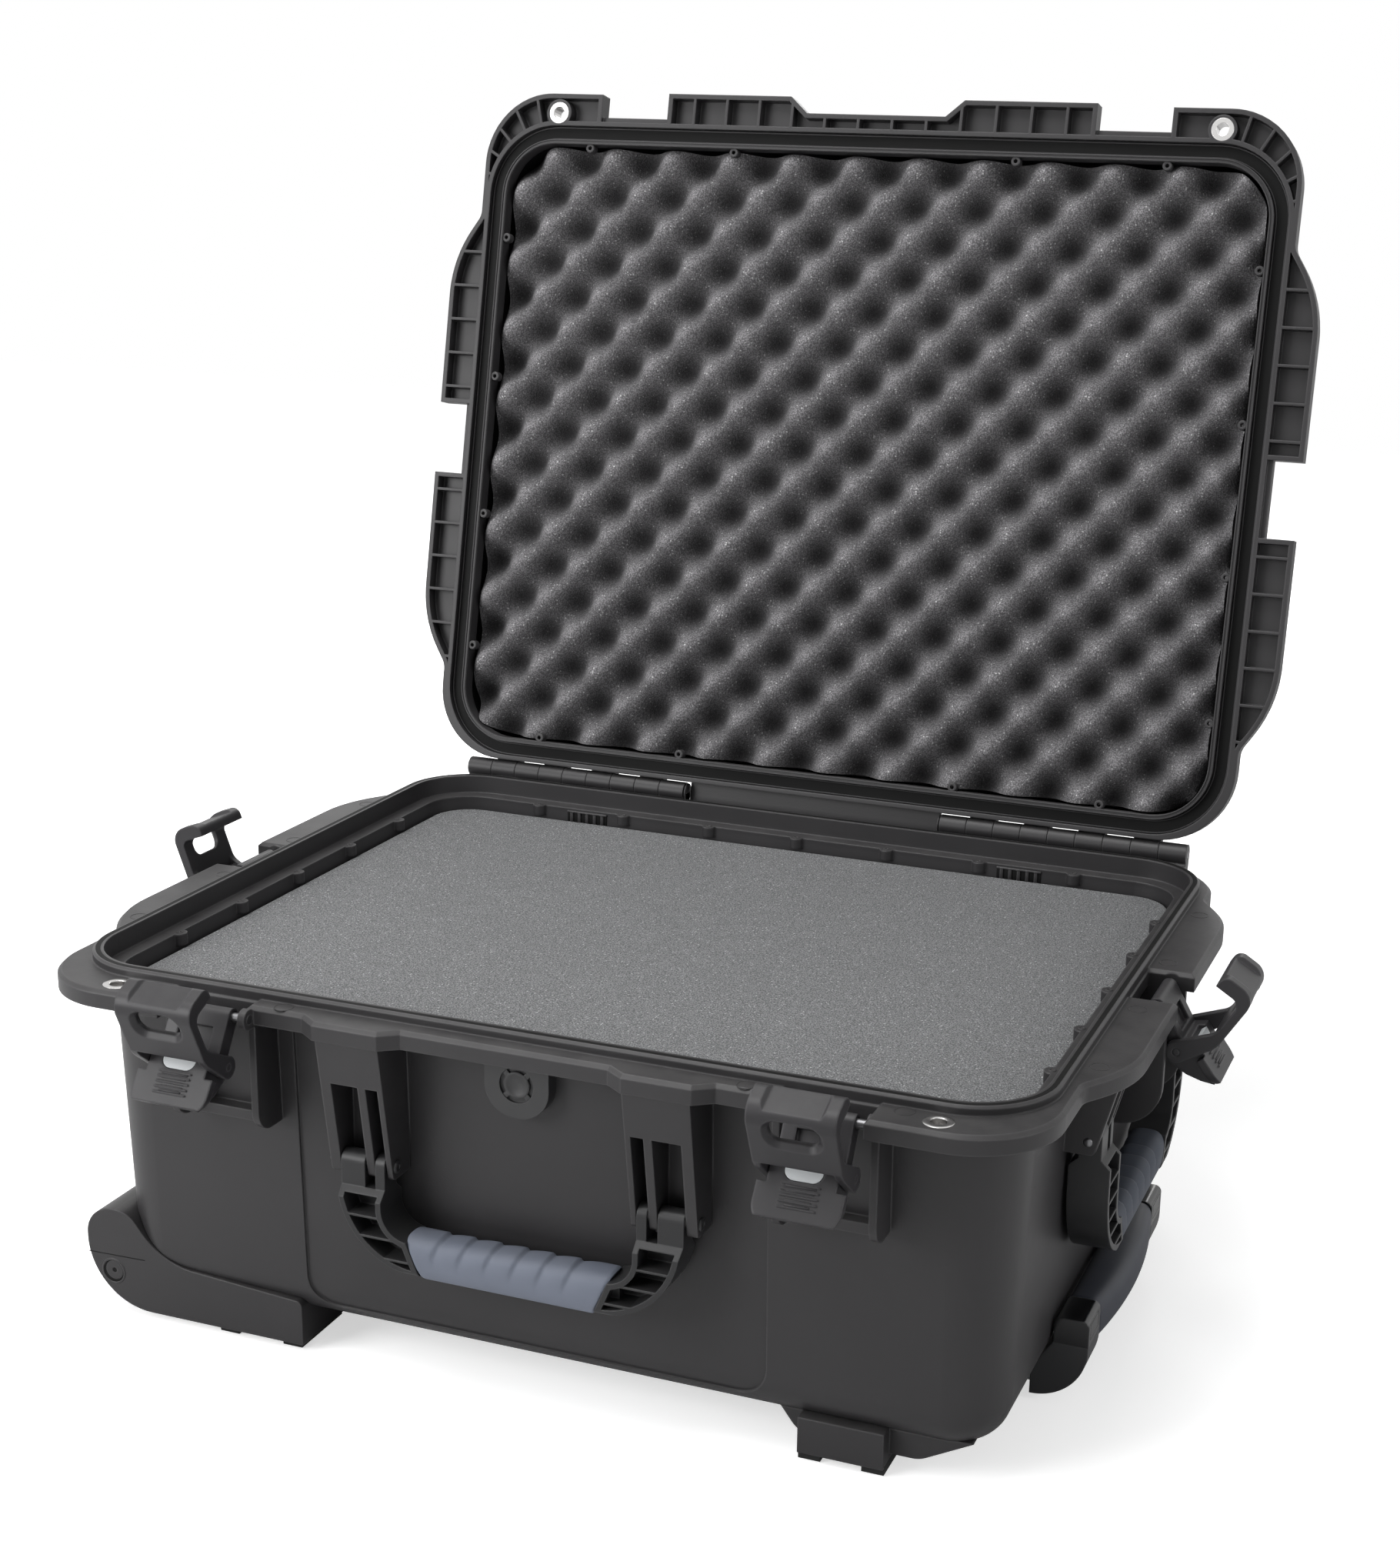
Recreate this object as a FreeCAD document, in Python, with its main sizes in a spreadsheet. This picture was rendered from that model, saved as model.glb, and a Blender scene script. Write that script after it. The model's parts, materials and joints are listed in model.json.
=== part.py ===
import FreeCAD, Part
import math
import os
import Sketcher
from types import SimpleNamespace
from FreeCAD import Placement, Rotation, Vector

# Wheeled hard case, shown open. Millimetres, +Z up, origin on the floor under the middle of the tub.
# X runs along the length: wheels at -X, pull handle at +X. The front with the carry handle is at -Y.

sizes = {
    # Tub and the rim tongue that stands round its mouth
    "rim_length": 540,
    "rim_depth": 425,
    "rim_corner": 45,
    "rim_width": 6,
    "rim_height": 5,
    "rim_edge": 1.2,
    "flange_top": 210,
    "flange_thickness": 10,
    "flange_chamfer": 2,
    "ledge_drop": 7,
    "ledge_boss_radius": 4.5,
    "ledge_boss_height": 6.5,
    "ledge_boss_pitch": 62,
    "tub_inset": 11,
    "tub_draft": 6,
    "tub_bottom": 20,
    "tub_edge_radius": 22,
    "wall": 4.5,
    "wall_bite": 3,
    "cavity_bevel": 14,
    "panel_width": 266,
    "panel_base": 30,
    "panel_depth": 1.5,
    "panel_corner": 18,
    "overrun": 2,
    # Outline of the two flanges, as reach beyond the rim
    "ear_reach": 22.5,
    "crest_reach": 17.5,
    "middle_reach": 10.5,
    "side_reach": 7,
    "wing_reach": 26.5,
    "back_reach": 3.5,
    "bay_lip": 0.8,
    "crest_inner": 67,
    "crest_width": 37,
    "crest_ramp": 10,
    "flange_corner": 47,
    "bend_radius": 4,
    "wing_radius": 80,
    "wing_root_radius": 12,
    "wing_front_inset": 60.5,
    "wing_back_inset": 56.5,
    "wing_ramp": 30,
    # Lid, measured with the lid shut
    "lid_gap": 0.4,
    "lid_flange_height": 11.6,
    "lid_height": 64.6,
    "lid_wall": 4.5,
    "lid_swell": 2,
    "lid_taper": 8,
    "lid_edge_radius": 16,
    "lid_cavity_bevel": 8,
    "lip": 3,
    "groove_clearance": 1.6,
    "groove_depth": 7.1,
    "seal_thickness": 2.1,
    "seal_inset": 0.6,
    "skirt": 3,
    "flange_plate": 3,
    "lid_crest_reach": 24,
    "lid_middle_reach": 13.5,
    "lid_crest_inner": 59,
    "lid_crest_ramp": 12,
    "lid_notch_width": 48,
    "catch_reach": 8,
    "catch_height": 8,
    "rib_thickness": 1.8,
    "rib_pitch": 23,
    "corner_rib_count": 5,
    "open_angle": 102,
    # Hinge, from the rim's back face and the flange's top
    "hinge_out": 12,
    "hinge_rise": 6,
    "knuckle_radius": 6.5,
    "knuckle_count": 9,
    "knuckle_gap": 0.4,
    "hinge_pin_radius": 2.5,
    "hinge_inner": 90,
    "hinge_end_inset": 18,
    "running_clearance": 0.05,
    "stop_plate_gap": 2,
    "stop_plate_reach": 24,
    # Padlock eyelets
    "eyelet_inset": 45,
    "eyelet_out": 9.9,
    "eyelet_bore": 4,
    "eyelet_radius": 7,
    "eyelet_boss": 9,
    # Latches, as reach beyond the rim
    "latch_inset": 100.5,
    "bay_width": 46,
    "fin_thickness": 4,
    "fin_reach": 9.5,
    "fin_length": 62,
    "fin_radius": 12,
    "end_fin_reach": 22,
    "end_fin_radius": 24,
    "stop_thickness": 6,
    "stop_reach": 9,
    "latch_out": 14,
    "latch_drop": 6,
    "latch_boss": 5.5,
    "latch_pin_radius": 2.5,
    "link_length": 25.9,
    "link_open_angle": 60,
    "front_claw_lean": 24,
    "left_claw_lean": 20,
    "right_claw_lean": 32,
    "link_half_width": 4.5,
    "link_pocket_width": 20,
    "link_pocket_depth": 3,
    "link_pocket_margin": 7,
    "lever_width": 34.4,
    "claw_width": 44,
    "cheek_thickness": 4,
    "cheek_radius": 6,
    "claw_face": 15,
    "claw_bend": 18,
    "hook_outer_radius": 9,
    "hook_inner_radius": 5,
    "claw_plate": 5,
    "claw_plate_base": 18,
    "claw_reach": 44.1,
    "hook_thickness": 8,
    "hook_tip": 5.7,
    "window_base": 32,
    "window_height": 13.5,
    "window_width": 25,
    "window_bevel": 2.5,
    "scoop_width": 28,
    "scoop_depth": 2,
    "claw_pin_radius": 2,
    "tab_angle": 53,
    "tab_out": 9.5,
    "tab_rise": 6,
    "tab_length": 25.3,
    "tab_thickness": 4.5,
    "tab_wide_from": 9,
    "tab_width": 44,
    "tab_radius": 8,
    "tab_rib_width": 19,
    "tab_rib_height": 0.8,
    "tab_rib_pitch": 2.8,
    "tab_rib_count": 5,
    "lock_width": 19,
    "lock_start": 1,
    "lock_length": 5.5,
    "lock_depth": 3,
    "lock_radius": 5,
    "lock_gap": 0.3,
    "lock_travel": 4,
    # Carry handles and the towers that hold them
    "tower_inner": 67,
    "tower_wall_inner": 3,
    "slot_inner": 7,
    "tower_rib": 4.5,
    "slot_outer": 15.5,
    "tower_wall_outer": 6,
    "tower_reach_top": 16.5,
    "tower_reach_base": 3.5,
    "tower_radius": 3,
    "slot_depth": 9,
    "handle_pin_radius": 3,
    "prong_gap": 0.8,
    "handle_half_thickness": 6,
    "prong_slit": 12,
    "arm_bend": 46,
    "arm_inner_bend": 16,
    "arm_web": 3,
    "arm_pocket": 13,
    "arm_rib_pitch": 11,
    "grip_height": 24,
    "grip_half_depth": 11,
    "grip_radius": 10,
    "grip_base_half": 48,
    "grip_flare": 10,
    "grip_core_height": 12,
    "grip_core_half_depth": 4,
    "front_pivot_drop": 80,
    "front_tower_drop": 7,
    "front_slot_drop": 24,
    "front_grip_drop": 46,
    "side_pivot_drop": 52,
    "side_tower_drop": 7,
    "side_slot_drop": 12,
    "side_grip_drop": 69,
    # Pressure valve in the front wall
    "valve_drop": 15.5,
    "valve_width": 36,
    "valve_top": 15,
    "valve_thickness": 8,
    "valve_dish_radius": 9.5,
    "valve_dish_depth": 1.5,
    "valve_core_radius": 6,
    # Wheels and their housings
    "wheel_radius": 24,
    "wheel_width": 26,
    "hub_radius": 17,
    "hub_rim": 3,
    "hub_boss_radius": 8,
    "hub_recess": 5,
    "tyre_edge": 4,
    "axle_radius": 4,
    "axle_inset": 12,
    "axle_height": 25,
    "wheel_inset": 40.5,
    "wheel_side_gap": 1.2,
    "wheel_arch_gap": 3,
    "housing_plate": 10.8,
    "housing_overhang": 16,
    "housing_toe_back": 121,
    "housing_waist_back": 32,
    "housing_shoulder_back": 11,
    "housing_base": 4,
    "housing_toe_top": 30,
    "housing_waist_top": 36,
    "housing_crown": 63,
    "housing_heel_radius": 40,
    "housing_crown_radius": 17,
    "housing_shoulder_radius": 16,
    "housing_bend_radius": 46,
    "housing_gap": 0.4,
    "axle_cover": 3,
    # Feet under the pull-handle end
    "foot_inset": 30,
    "foot_length": 103,
    "foot_width": 46,
    "foot_top": 24,
    "foot_base": 4,
    "foot_block_start": 13,
    "foot_block_length": 46,
    "foot_setback": 9,
    "foot_bend": 16,
    "pad_length": 12,
    "pad_width": 42,
    "pad_seat": 1,
    "housing_pad_inner_back": 112,
    "housing_pad_outer_back": 72,
    # Telescopic pull handle
    "tube_spacing": 156,
    "tube_height": 11.5,
    "outer_tube_radius": 8,
    "inner_tube_radius": 6.9,
    "tube_wall": 1,
    "tube_slip": 0.1,
    "tube_left_inset": 85,
    "tube_right_inset": 38,
    "inner_tube_back": 7,
    "inner_tube_seat": 12,
    "clamp_length": 18,
    "clamp_width": 25,
    "clamp_base": 2,
    "clamp_left_back": 45,
    "clamp_right_back": 27,
    "arm_length": 30.5,
    "pull_depth": 19,
    "pull_reach": 4.5,
    "pull_top": 51,
    "pull_cap_height": 15,
    "pull_grip_height": 24,
    "pull_arm_width": 26,
    "pull_bend": 30,
    "pull_edge": 4,
    "pull_grip_radius": 8,
    "pull_bulge": 6,
    "pull_core_half_depth": 2.5,
    "pull_core_half_height": 6,
    "button_width": 18,
    "button_height": 8,
    "button_thickness": 4,
    "button_travel": 2.5,
    "button_gap": 0.3,
    # Foam
    "foam_gap": 2.5,
    "foam_drop": 15,
    "foam_sheet_thickness": 25,
    "foam_pad_thickness": 20,
    "foam_shrink": 6,
    "foam_corner": 26,
    "egg_columns": 12,
    "egg_rows": 9,
    "egg_clearance": 1.6,
    "egg_gap": 3,
    "egg_bevel": 10,
    "egg_height": 20,
}

# Corners of the lever's body about the claw pivot, as shares of the tab's length.
body_shares = ((-0.16, 0.16), (-0.2, -0.1), (-0.16, -0.31), (0.22, -0.53), (0.54, -0.63))
# Lower corners of the foot's set-back bar, along its length and from its base to its top.
foot_shares = ((0.11, 0.25), (0.73, 0.25))
# Where the claw's cheek leaves the round of its pivot, in cheek radii.
tip_shares = (0.8, 0.6)
# Corners of a hinge knuckle's root from its axis, in knuckle radii, towards the rim and its own shell.
base_root_shares = ((-0.9, 0.96), (0.0, 0.0), (0.99, 0.0), (0.55, 1.9))
lid_root_shares = ((-0.9, 0.35), (0.0, 0.0), (0.99, 0.0), (0.6, 1.35))

doc = FreeCAD.newDocument("wheeled_case")
sheet = doc.addObject("Spreadsheet::Sheet", "sizes")
for row, (alias, value) in enumerate(sizes.items(), start=1):
    sheet.set(f"A{row}", alias)
    sheet.set(f"B{row}", str(value))
    sheet.setAlias(f"B{row}", alias)
doc.recompute()
s = SimpleNamespace(**{alias: float(sheet.get(alias)) for alias in sizes})
cells = {alias: "sizes." + alias for alias in sizes}
nodes = []

# Derived levels and half sizes
rim_x = s.rim_length / 2
rim_y = s.rim_depth / 2
flange_bottom = s.flange_top - s.flange_thickness
rim_top = s.flange_top + s.rim_height
ledge = s.flange_top - s.ledge_drop
lid_bottom = s.flange_top + s.lid_gap
lid_flange_top = lid_bottom + s.lid_flange_height
lid_top = lid_bottom + s.lid_height
lid_ceiling = lid_top - s.lid_wall
band_reach = s.groove_clearance + s.lip
hinge = Vector(0, rim_y + s.hinge_out, s.flange_top + s.hinge_rise)
lid_pose = Placement(Vector(), Rotation(Vector(1, 0, 0), -s.open_angle), hinge)
latch_x = rim_x - s.latch_inset
eyelet_x = rim_x - s.eyelet_inset
wing_front = rim_y - s.wing_front_inset
wing_back = rim_y - s.wing_back_inset
hinge_length = rim_x - s.hinge_end_inset - s.hinge_inner
foam_floor = s.tub_bottom + s.wall


# Plane maps: a flat point (a, b) at a level along the plane's normal
planes = {
    "xy": (lambda a, b, level: Vector(a, b, level), Vector(0, 0, 1)),
    "xz": (lambda a, b, level: Vector(a, level, b), Vector(0, 1, 0)),
    "yz": (lambda a, b, level: Vector(level, a, b), Vector(1, 0, 0)),
}


# Closed wire through corners (a, b, radius), with a tangent arc at each corner that has a radius
def rounded_wire(corners, plane, level):
    to_space = planes[plane][0]
    flat = [Vector(a, b, 0) for a, b, radius in corners]
    runs = []
    for i, (a, b, radius) in enumerate(corners):
        here = flat[i]
        back = (flat[i - 1] - here).normalize()
        ahead = (flat[(i + 1) % len(flat)] - here).normalize()
        half = back.getAngle(ahead) / 2
        if radius == 0 or math.pi / 2 - half < 1e-6:
            runs.append((here, None, here))
            continue
        reach = radius / math.tan(half)
        inward = (back + ahead).normalize()
        middle = here + inward * (radius / math.sin(half) - radius)
        runs.append((here + back * reach, middle, here + ahead * reach))
    edges = []
    for i, (first, middle, last) in enumerate(runs):
        if middle is not None:
            points = [to_space(p.x, p.y, level) for p in (first, middle, last)]
            edges.append(Part.Arc(*points).toShape())
        after = runs[(i + 1) % len(runs)][0]
        if (after - last).Length > 1e-6:
            edges.append(Part.makeLine(to_space(last.x, last.y, level), to_space(after.x, after.y, level)))
    return Part.Wire(edges)


# Outline moved inwards by a wall, with its arcs kept concentric; corners run anticlockwise
def inset_outline(corners, wall):
    flat = [Vector(a, b, 0) for a, b, radius in corners]
    moved = []
    for i, (a, b, radius) in enumerate(corners):
        before = (flat[i] - flat[i - 1]).normalize()
        after = (flat[(i + 1) % len(flat)] - flat[i]).normalize()
        turn = before.cross(after).z
        inward = Vector(-before.y - after.y, before.x + after.x, 0)
        point = flat[i] + inward * (wall / (1 + before.dot(after)))
        rounding = 0 if radius == 0 else max(radius - math.copysign(wall, turn), 0)
        moved.append((point.x, point.y, rounding))
    return moved


def prism(corners, plane, start, end):
    face = Part.Face(rounded_wire(corners, plane, start))
    return face.extrude(planes[plane][1] * (end - start))


def rectangle(half_x, half_y, radius):
    return [
        (half_x, half_y, radius),
        (-half_x, half_y, radius),
        (-half_x, -half_y, radius),
        (half_x, -half_y, radius),
    ]


def box(x0, x1, y0, y1, z0, z1):
    return Part.makeBox(x1 - x0, y1 - y0, z1 - z0, Vector(x0, y0, z0))


def rod(start, end, radius):
    return Part.makeCylinder(radius, (end - start).Length, start, end - start)


def mirrored_x(shape):
    return shape.mirror(Vector(), Vector(1, 0, 0))


def mirrored_y(shape):
    return shape.mirror(Vector(), Vector(0, 1, 0))


def both_x(shape):
    return [shape, mirrored_x(shape)]


def both_y(shape):
    return [shape, mirrored_y(shape)]


def fuse(shapes):
    return shapes[0].multiFuse(shapes[1:]).removeSplitter()


def level_edges(shape, level):
    boxes = [(edge, edge.BoundBox) for edge in shape.Edges]
    return [edge for edge, b in boxes if abs(b.ZMin - level) < 1e-4 and abs(b.ZMax - level) < 1e-4]


# One sub-part whose shape is set here
def shaped(label, shape, placement=None):
    feature = doc.addObject("Part::Feature", label)
    feature.Label = label
    feature.Shape = shape
    if placement is not None:
        feature.Placement = placement
    nodes.append(feature)
    return feature


# Document object with its sizes bound to the sheet
def bound(kind, name, expressions):
    item = doc.addObject(kind, name)
    for prop, text in expressions.items():
        item.setExpression(prop, text.format(**cells))
    return item


# Round bar along a world axis, its start and length bound to the sheet
def bar(name, radius, length, start, direction):
    item = bound("Part::Cylinder", name, {"Radius": radius, "Height": length})
    item.Placement = Placement(Vector(), Rotation(Vector(0, 0, 1), direction))
    for axis, text in zip("xyz", start):
        item.setExpression("Placement.Base." + axis, text.format(**cells))
    return item


def group(label, items):
    compound = doc.addObject("Part::Compound", label)
    compound.Label = label
    compound.Links = items
    nodes.append(compound)
    return compound


def cut(name, base, tool):
    item = doc.addObject("Part::Cut", name)
    item.Base = base
    item.Tool = tool
    return item


# Body with a closed sketch of straight runs, every corner bound to the sheet
def sketched(label, role, points):
    body = doc.addObject("PartDesign::Body", label)
    body.Label = label
    sketch = body.newObject("Sketcher::SketchObject", label + "_profile")
    sketch.AttachmentSupport = [(next(f for f in body.Origin.OriginFeatures if f.Role == role), "")]
    sketch.MapMode = "FlatFace"
    count = len(points)
    turn = 2 * math.pi / count
    seeds = [Vector(math.cos(turn * i), math.sin(turn * i), 0) * s.wall for i in range(count)]
    for i in range(count):
        sketch.addGeometry(Part.LineSegment(seeds[i], seeds[(i + 1) % count]), False)
    for i in range(count):
        sketch.addConstraint(Sketcher.Constraint("Coincident", i, 2, (i + 1) % count, 1))
    for i, point in enumerate(points):
        for kind, text, seed in zip(("DistanceX", "DistanceY"), point, (seeds[i].x, seeds[i].y)):
            index = sketch.addConstraint(Sketcher.Constraint(kind, -1, 1, i, 1, seed))
            sketch.setExpression(f"Constraints[{index}]", text.format(**cells))
    doc.recompute()
    return body, sketch


# Turned piece: profile of (radius, height) about Z, then placed
def turned(label, points, placement):
    body, sketch = sketched(label, "XZ_Plane", points)
    turn = body.newObject("PartDesign::Revolution", label + "_turn")
    turn.Profile = sketch
    turn.ReferenceAxis = (sketch, ["V_Axis"])
    turn.Angle = 360
    body.Placement = placement
    nodes.append(body)
    return body


# Rectangular slab with rounded upright corners, from a level upwards
def slab(label, half_x, half_y, level, thickness, corner):
    points = [(half_x, half_y), ("-(" + half_x + ")", half_y)]
    points += [("-(" + half_x + ")", "-(" + half_y + ")"), (half_x, "-(" + half_y + ")")]
    body, sketch = sketched(label, "XY_Plane", points)
    pad = body.newObject("PartDesign::Pad", label + "_pad")
    pad.Profile = sketch
    pad.setExpression("Length", thickness.format(**cells))
    doc.recompute()
    boxes = [edge.BoundBox for edge in pad.Shape.Edges]
    upright = [i for i, b in enumerate(boxes, start=1) if b.ZLength > b.XLength + b.YLength]
    fillet = body.newObject("PartDesign::Fillet", label + "_corners")
    fillet.Base = (pad, [f"Edge{i}" for i in upright])
    fillet.setExpression("Radius", corner.format(**cells))
    body.setExpression("Placement.Base.z", level.format(**cells))
    return body


# Half of a flange outline from the ears round the wing to the back, shared by base and lid
def flange_tail(bay_half, bay_back):
    side = rim_x + s.side_reach
    wing = rim_x + s.wing_reach
    return [
        (latch_x - bay_half, -rim_y - bay_back, 0),
        (latch_x + bay_half, -rim_y - bay_back, 0),
        (latch_x + bay_half, -rim_y - s.ear_reach, 0),
        (side, -rim_y - s.ear_reach, s.flange_corner),
        (side, -wing_front, s.wing_root_radius),
        (wing, s.wing_ramp - wing_front, s.wing_radius),
        (wing, -bay_half, 0),
        (rim_x + bay_back, -bay_half, 0),
        (rim_x + bay_back, bay_half, 0),
        (wing, bay_half, 0),
        (wing, wing_back - s.wing_ramp, s.wing_radius),
        (side, wing_back, s.wing_root_radius),
    ]


def whole_outline(half):
    return half + [(-x, y, radius) for x, y, radius in reversed(half)]


# Tapered tub form between two levels, set in by a wall for the cavity
def tub_form(inset, base, top):
    def section(level):
        share = (flange_bottom - level) / (flange_bottom - s.tub_bottom)
        back = s.tub_inset + inset + s.tub_draft * share
        return rounded_wire(rectangle(rim_x - back, rim_y - back, s.rim_corner - back), "xy", level)

    return Part.makeLoft([section(base), section(top)], True, True)


# Latch local frame: X along the width, Y outward from the rim, Z up
latch_pivot = Vector(0, s.latch_out, s.flange_top - s.latch_drop)
link_angle = math.radians(s.link_open_angle)
claw_pivot = latch_pivot + Vector(0, math.cos(link_angle), -math.sin(link_angle)) * s.link_length
latch_frames = {
    "front_left": Placement(Vector(-latch_x, -rim_y, 0), Rotation(Vector(0, 0, 1), 180)),
    "front_right": Placement(Vector(latch_x, -rim_y, 0), Rotation(Vector(0, 0, 1), 180)),
    "left_end": Placement(Vector(-rim_x, 0, 0), Rotation(Vector(0, 0, 1), 90)),
    "right_end": Placement(Vector(rim_x, 0, 0), Rotation(Vector(0, 0, 1), -90)),
}
# Handle local frame: X along the handle, -Y outward from the rim, Z up
handle_frames = {
    "front": Placement(Vector(0, -rim_y, 0), Rotation()),
    "side": Placement(Vector(rim_x, 0, 0), Rotation(Vector(0, 0, 1), 90)),
}
slot_one = s.tower_inner + s.tower_wall_inner
slot_two = slot_one + s.slot_inner + s.tower_rib
slot_end = slot_two + s.slot_outer
tower_outer = slot_end + s.tower_wall_outer


def handle_sizes(prefix):
    drops = {key: getattr(s, prefix + "_" + key) for key in ("pivot_drop", "tower_drop", "slot_drop", "grip_drop")}
    heights = {"pivot_height": s.flange_top - drops["pivot_drop"], "slot_top": flange_bottom - drops["slot_drop"]}
    return SimpleNamespace(**drops, **heights)


def placed(shape, placement):
    copy = shape.copy()
    copy.Placement = placement.multiply(copy.Placement)
    return copy


# Two fins with pin bosses beside a latch, and the stop shelf between them
def latch_fins(reach, radius):
    inner = s.bay_width / 2
    root = -s.tub_inset - s.wall_bite
    base = flange_bottom - s.fin_length
    plate = [
        (root, flange_bottom, 0),
        (reach, flange_bottom, 0),
        (reach, base, radius),
        (root, base, 0),
    ]
    pieces = []
    for start in (inner, -inner - s.fin_thickness):
        pieces.append(prism(plate, "yz", start, start + s.fin_thickness))
        at = Vector(start, latch_pivot.y, latch_pivot.z)
        pieces.append(rod(at, at + Vector(s.fin_thickness, 0, 0), s.latch_boss))
        low = latch_pivot.z - s.latch_boss
        pieces.append(box(start, start + s.fin_thickness, 0, latch_pivot.y, low, latch_pivot.z))
    pieces.append(box(-inner, inner, root, root + s.stop_reach, base, base + s.stop_thickness))
    return fuse(pieces)


# Tower pair for one carry handle, with two slots and a rib in each
def handle_towers(prefix):
    h = handle_sizes(prefix)
    base = h.pivot_height - h.tower_drop
    root = s.tub_inset + s.wall_bite
    profile = [
        (root, flange_bottom, 0),
        (-s.tower_reach_top, flange_bottom, 0),
        (-s.tower_reach_base, base, s.tower_radius),
        (root, base, 0),
    ]
    tower = prism(profile, "yz", s.tower_inner, tower_outer)
    front = -s.tower_reach_top - s.overrun
    for start, width in ((slot_one, s.slot_inner), (slot_two, s.slot_outer)):
        tower = tower.cut(box(start, start + width, front, s.slot_depth, base - s.overrun, h.slot_top))
    pin = rod(Vector(slot_one, 0, h.pivot_height), Vector(slot_end, 0, h.pivot_height), s.handle_pin_radius)
    return Part.Compound(both_x(tower.cut(pin)))


# Alternate hinge knuckles: even ones belong to the base, odd ones to the lid
def knuckles(owner):
    pitch = hinge_length / s.knuckle_count
    sign = -1 if owner == "base" else 1
    bore = s.hinge_pin_radius + (0 if owner == "base" else s.running_clearance)
    radius = s.knuckle_radius
    shares = base_root_shares if owner == "base" else lid_root_shares
    corners = [(hinge.y + a * radius, hinge.z + sign * b * radius, 0) for a, b in shares]
    inner = hinge.y - s.hinge_out
    corners = [(inner, corners[0][1], 0)] + corners + [(inner, corners[-1][1], 0)]
    pieces = []
    for i in range(0 if owner == "base" else 1, int(s.knuckle_count), 2):
        start = s.hinge_inner + i * pitch + s.knuckle_gap / 2
        end = start + pitch - s.knuckle_gap
        ends = Vector(start, hinge.y, hinge.z), Vector(end, hinge.y, hinge.z)
        knuckle = prism(corners, "yz", start, end).fuse(rod(*ends, radius))
        pieces.append(knuckle.cut(rod(*ends, bore)))
    return pieces + [mirrored_x(piece) for piece in pieces]


axle_x = rim_x - s.axle_inset
housing_end = axle_x + s.housing_overhang
housing_toe = axle_x - s.housing_toe_back
housing_waist = axle_x - s.housing_waist_back
housing_shoulder = axle_x - s.housing_shoulder_back


# Outline of a wheel housing in X and Z, grown by a margin
def housing_outline(margin):
    return [
        (-housing_toe + margin, s.housing_base - margin, 0),
        (-housing_toe + margin, s.housing_toe_top + margin, s.bend_radius),
        (-housing_waist + margin, s.housing_waist_top + margin, s.housing_bend_radius),
        (-housing_shoulder + margin, s.housing_crown + margin, s.housing_shoulder_radius),
        (-housing_end - margin, s.housing_crown + margin, s.housing_crown_radius),
        (-housing_end - margin, s.housing_base - margin, s.housing_heel_radius),
    ]


wheel_y = rim_y - s.wheel_inset
housing_inner = wheel_y - s.wheel_width / 2 - s.wheel_side_gap - s.housing_plate
housing_outer = wheel_y + s.wheel_width / 2 + s.wheel_side_gap + s.housing_plate


def eyelet_holes(bottom, top):
    places = [Vector(x, -rim_y - s.eyelet_out, bottom) for x in (-eyelet_x, eyelet_x)]
    return [Part.makeCylinder(s.eyelet_radius, top - bottom, at) for at in places]


tub = tub_form(0, s.tub_bottom, flange_bottom)
tub = tub.makeFillet(s.tub_edge_radius, level_edges(tub, s.tub_bottom))
cavity = tub_form(s.wall, foam_floor, flange_bottom)
cavity = cavity.makeChamfer(s.cavity_bevel, level_edges(cavity, foam_floor))
panel = prism(
    [
        (s.panel_width / 2, flange_bottom, 0),
        (-s.panel_width / 2, flange_bottom, 0),
        (-s.panel_width / 2, s.panel_base, s.panel_corner),
        (s.panel_width / 2, s.panel_base, s.panel_corner),
    ],
    "xz",
    -rim_y,
    0,
).cut(tub.translated(Vector(0, s.panel_depth, 0)))


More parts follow.
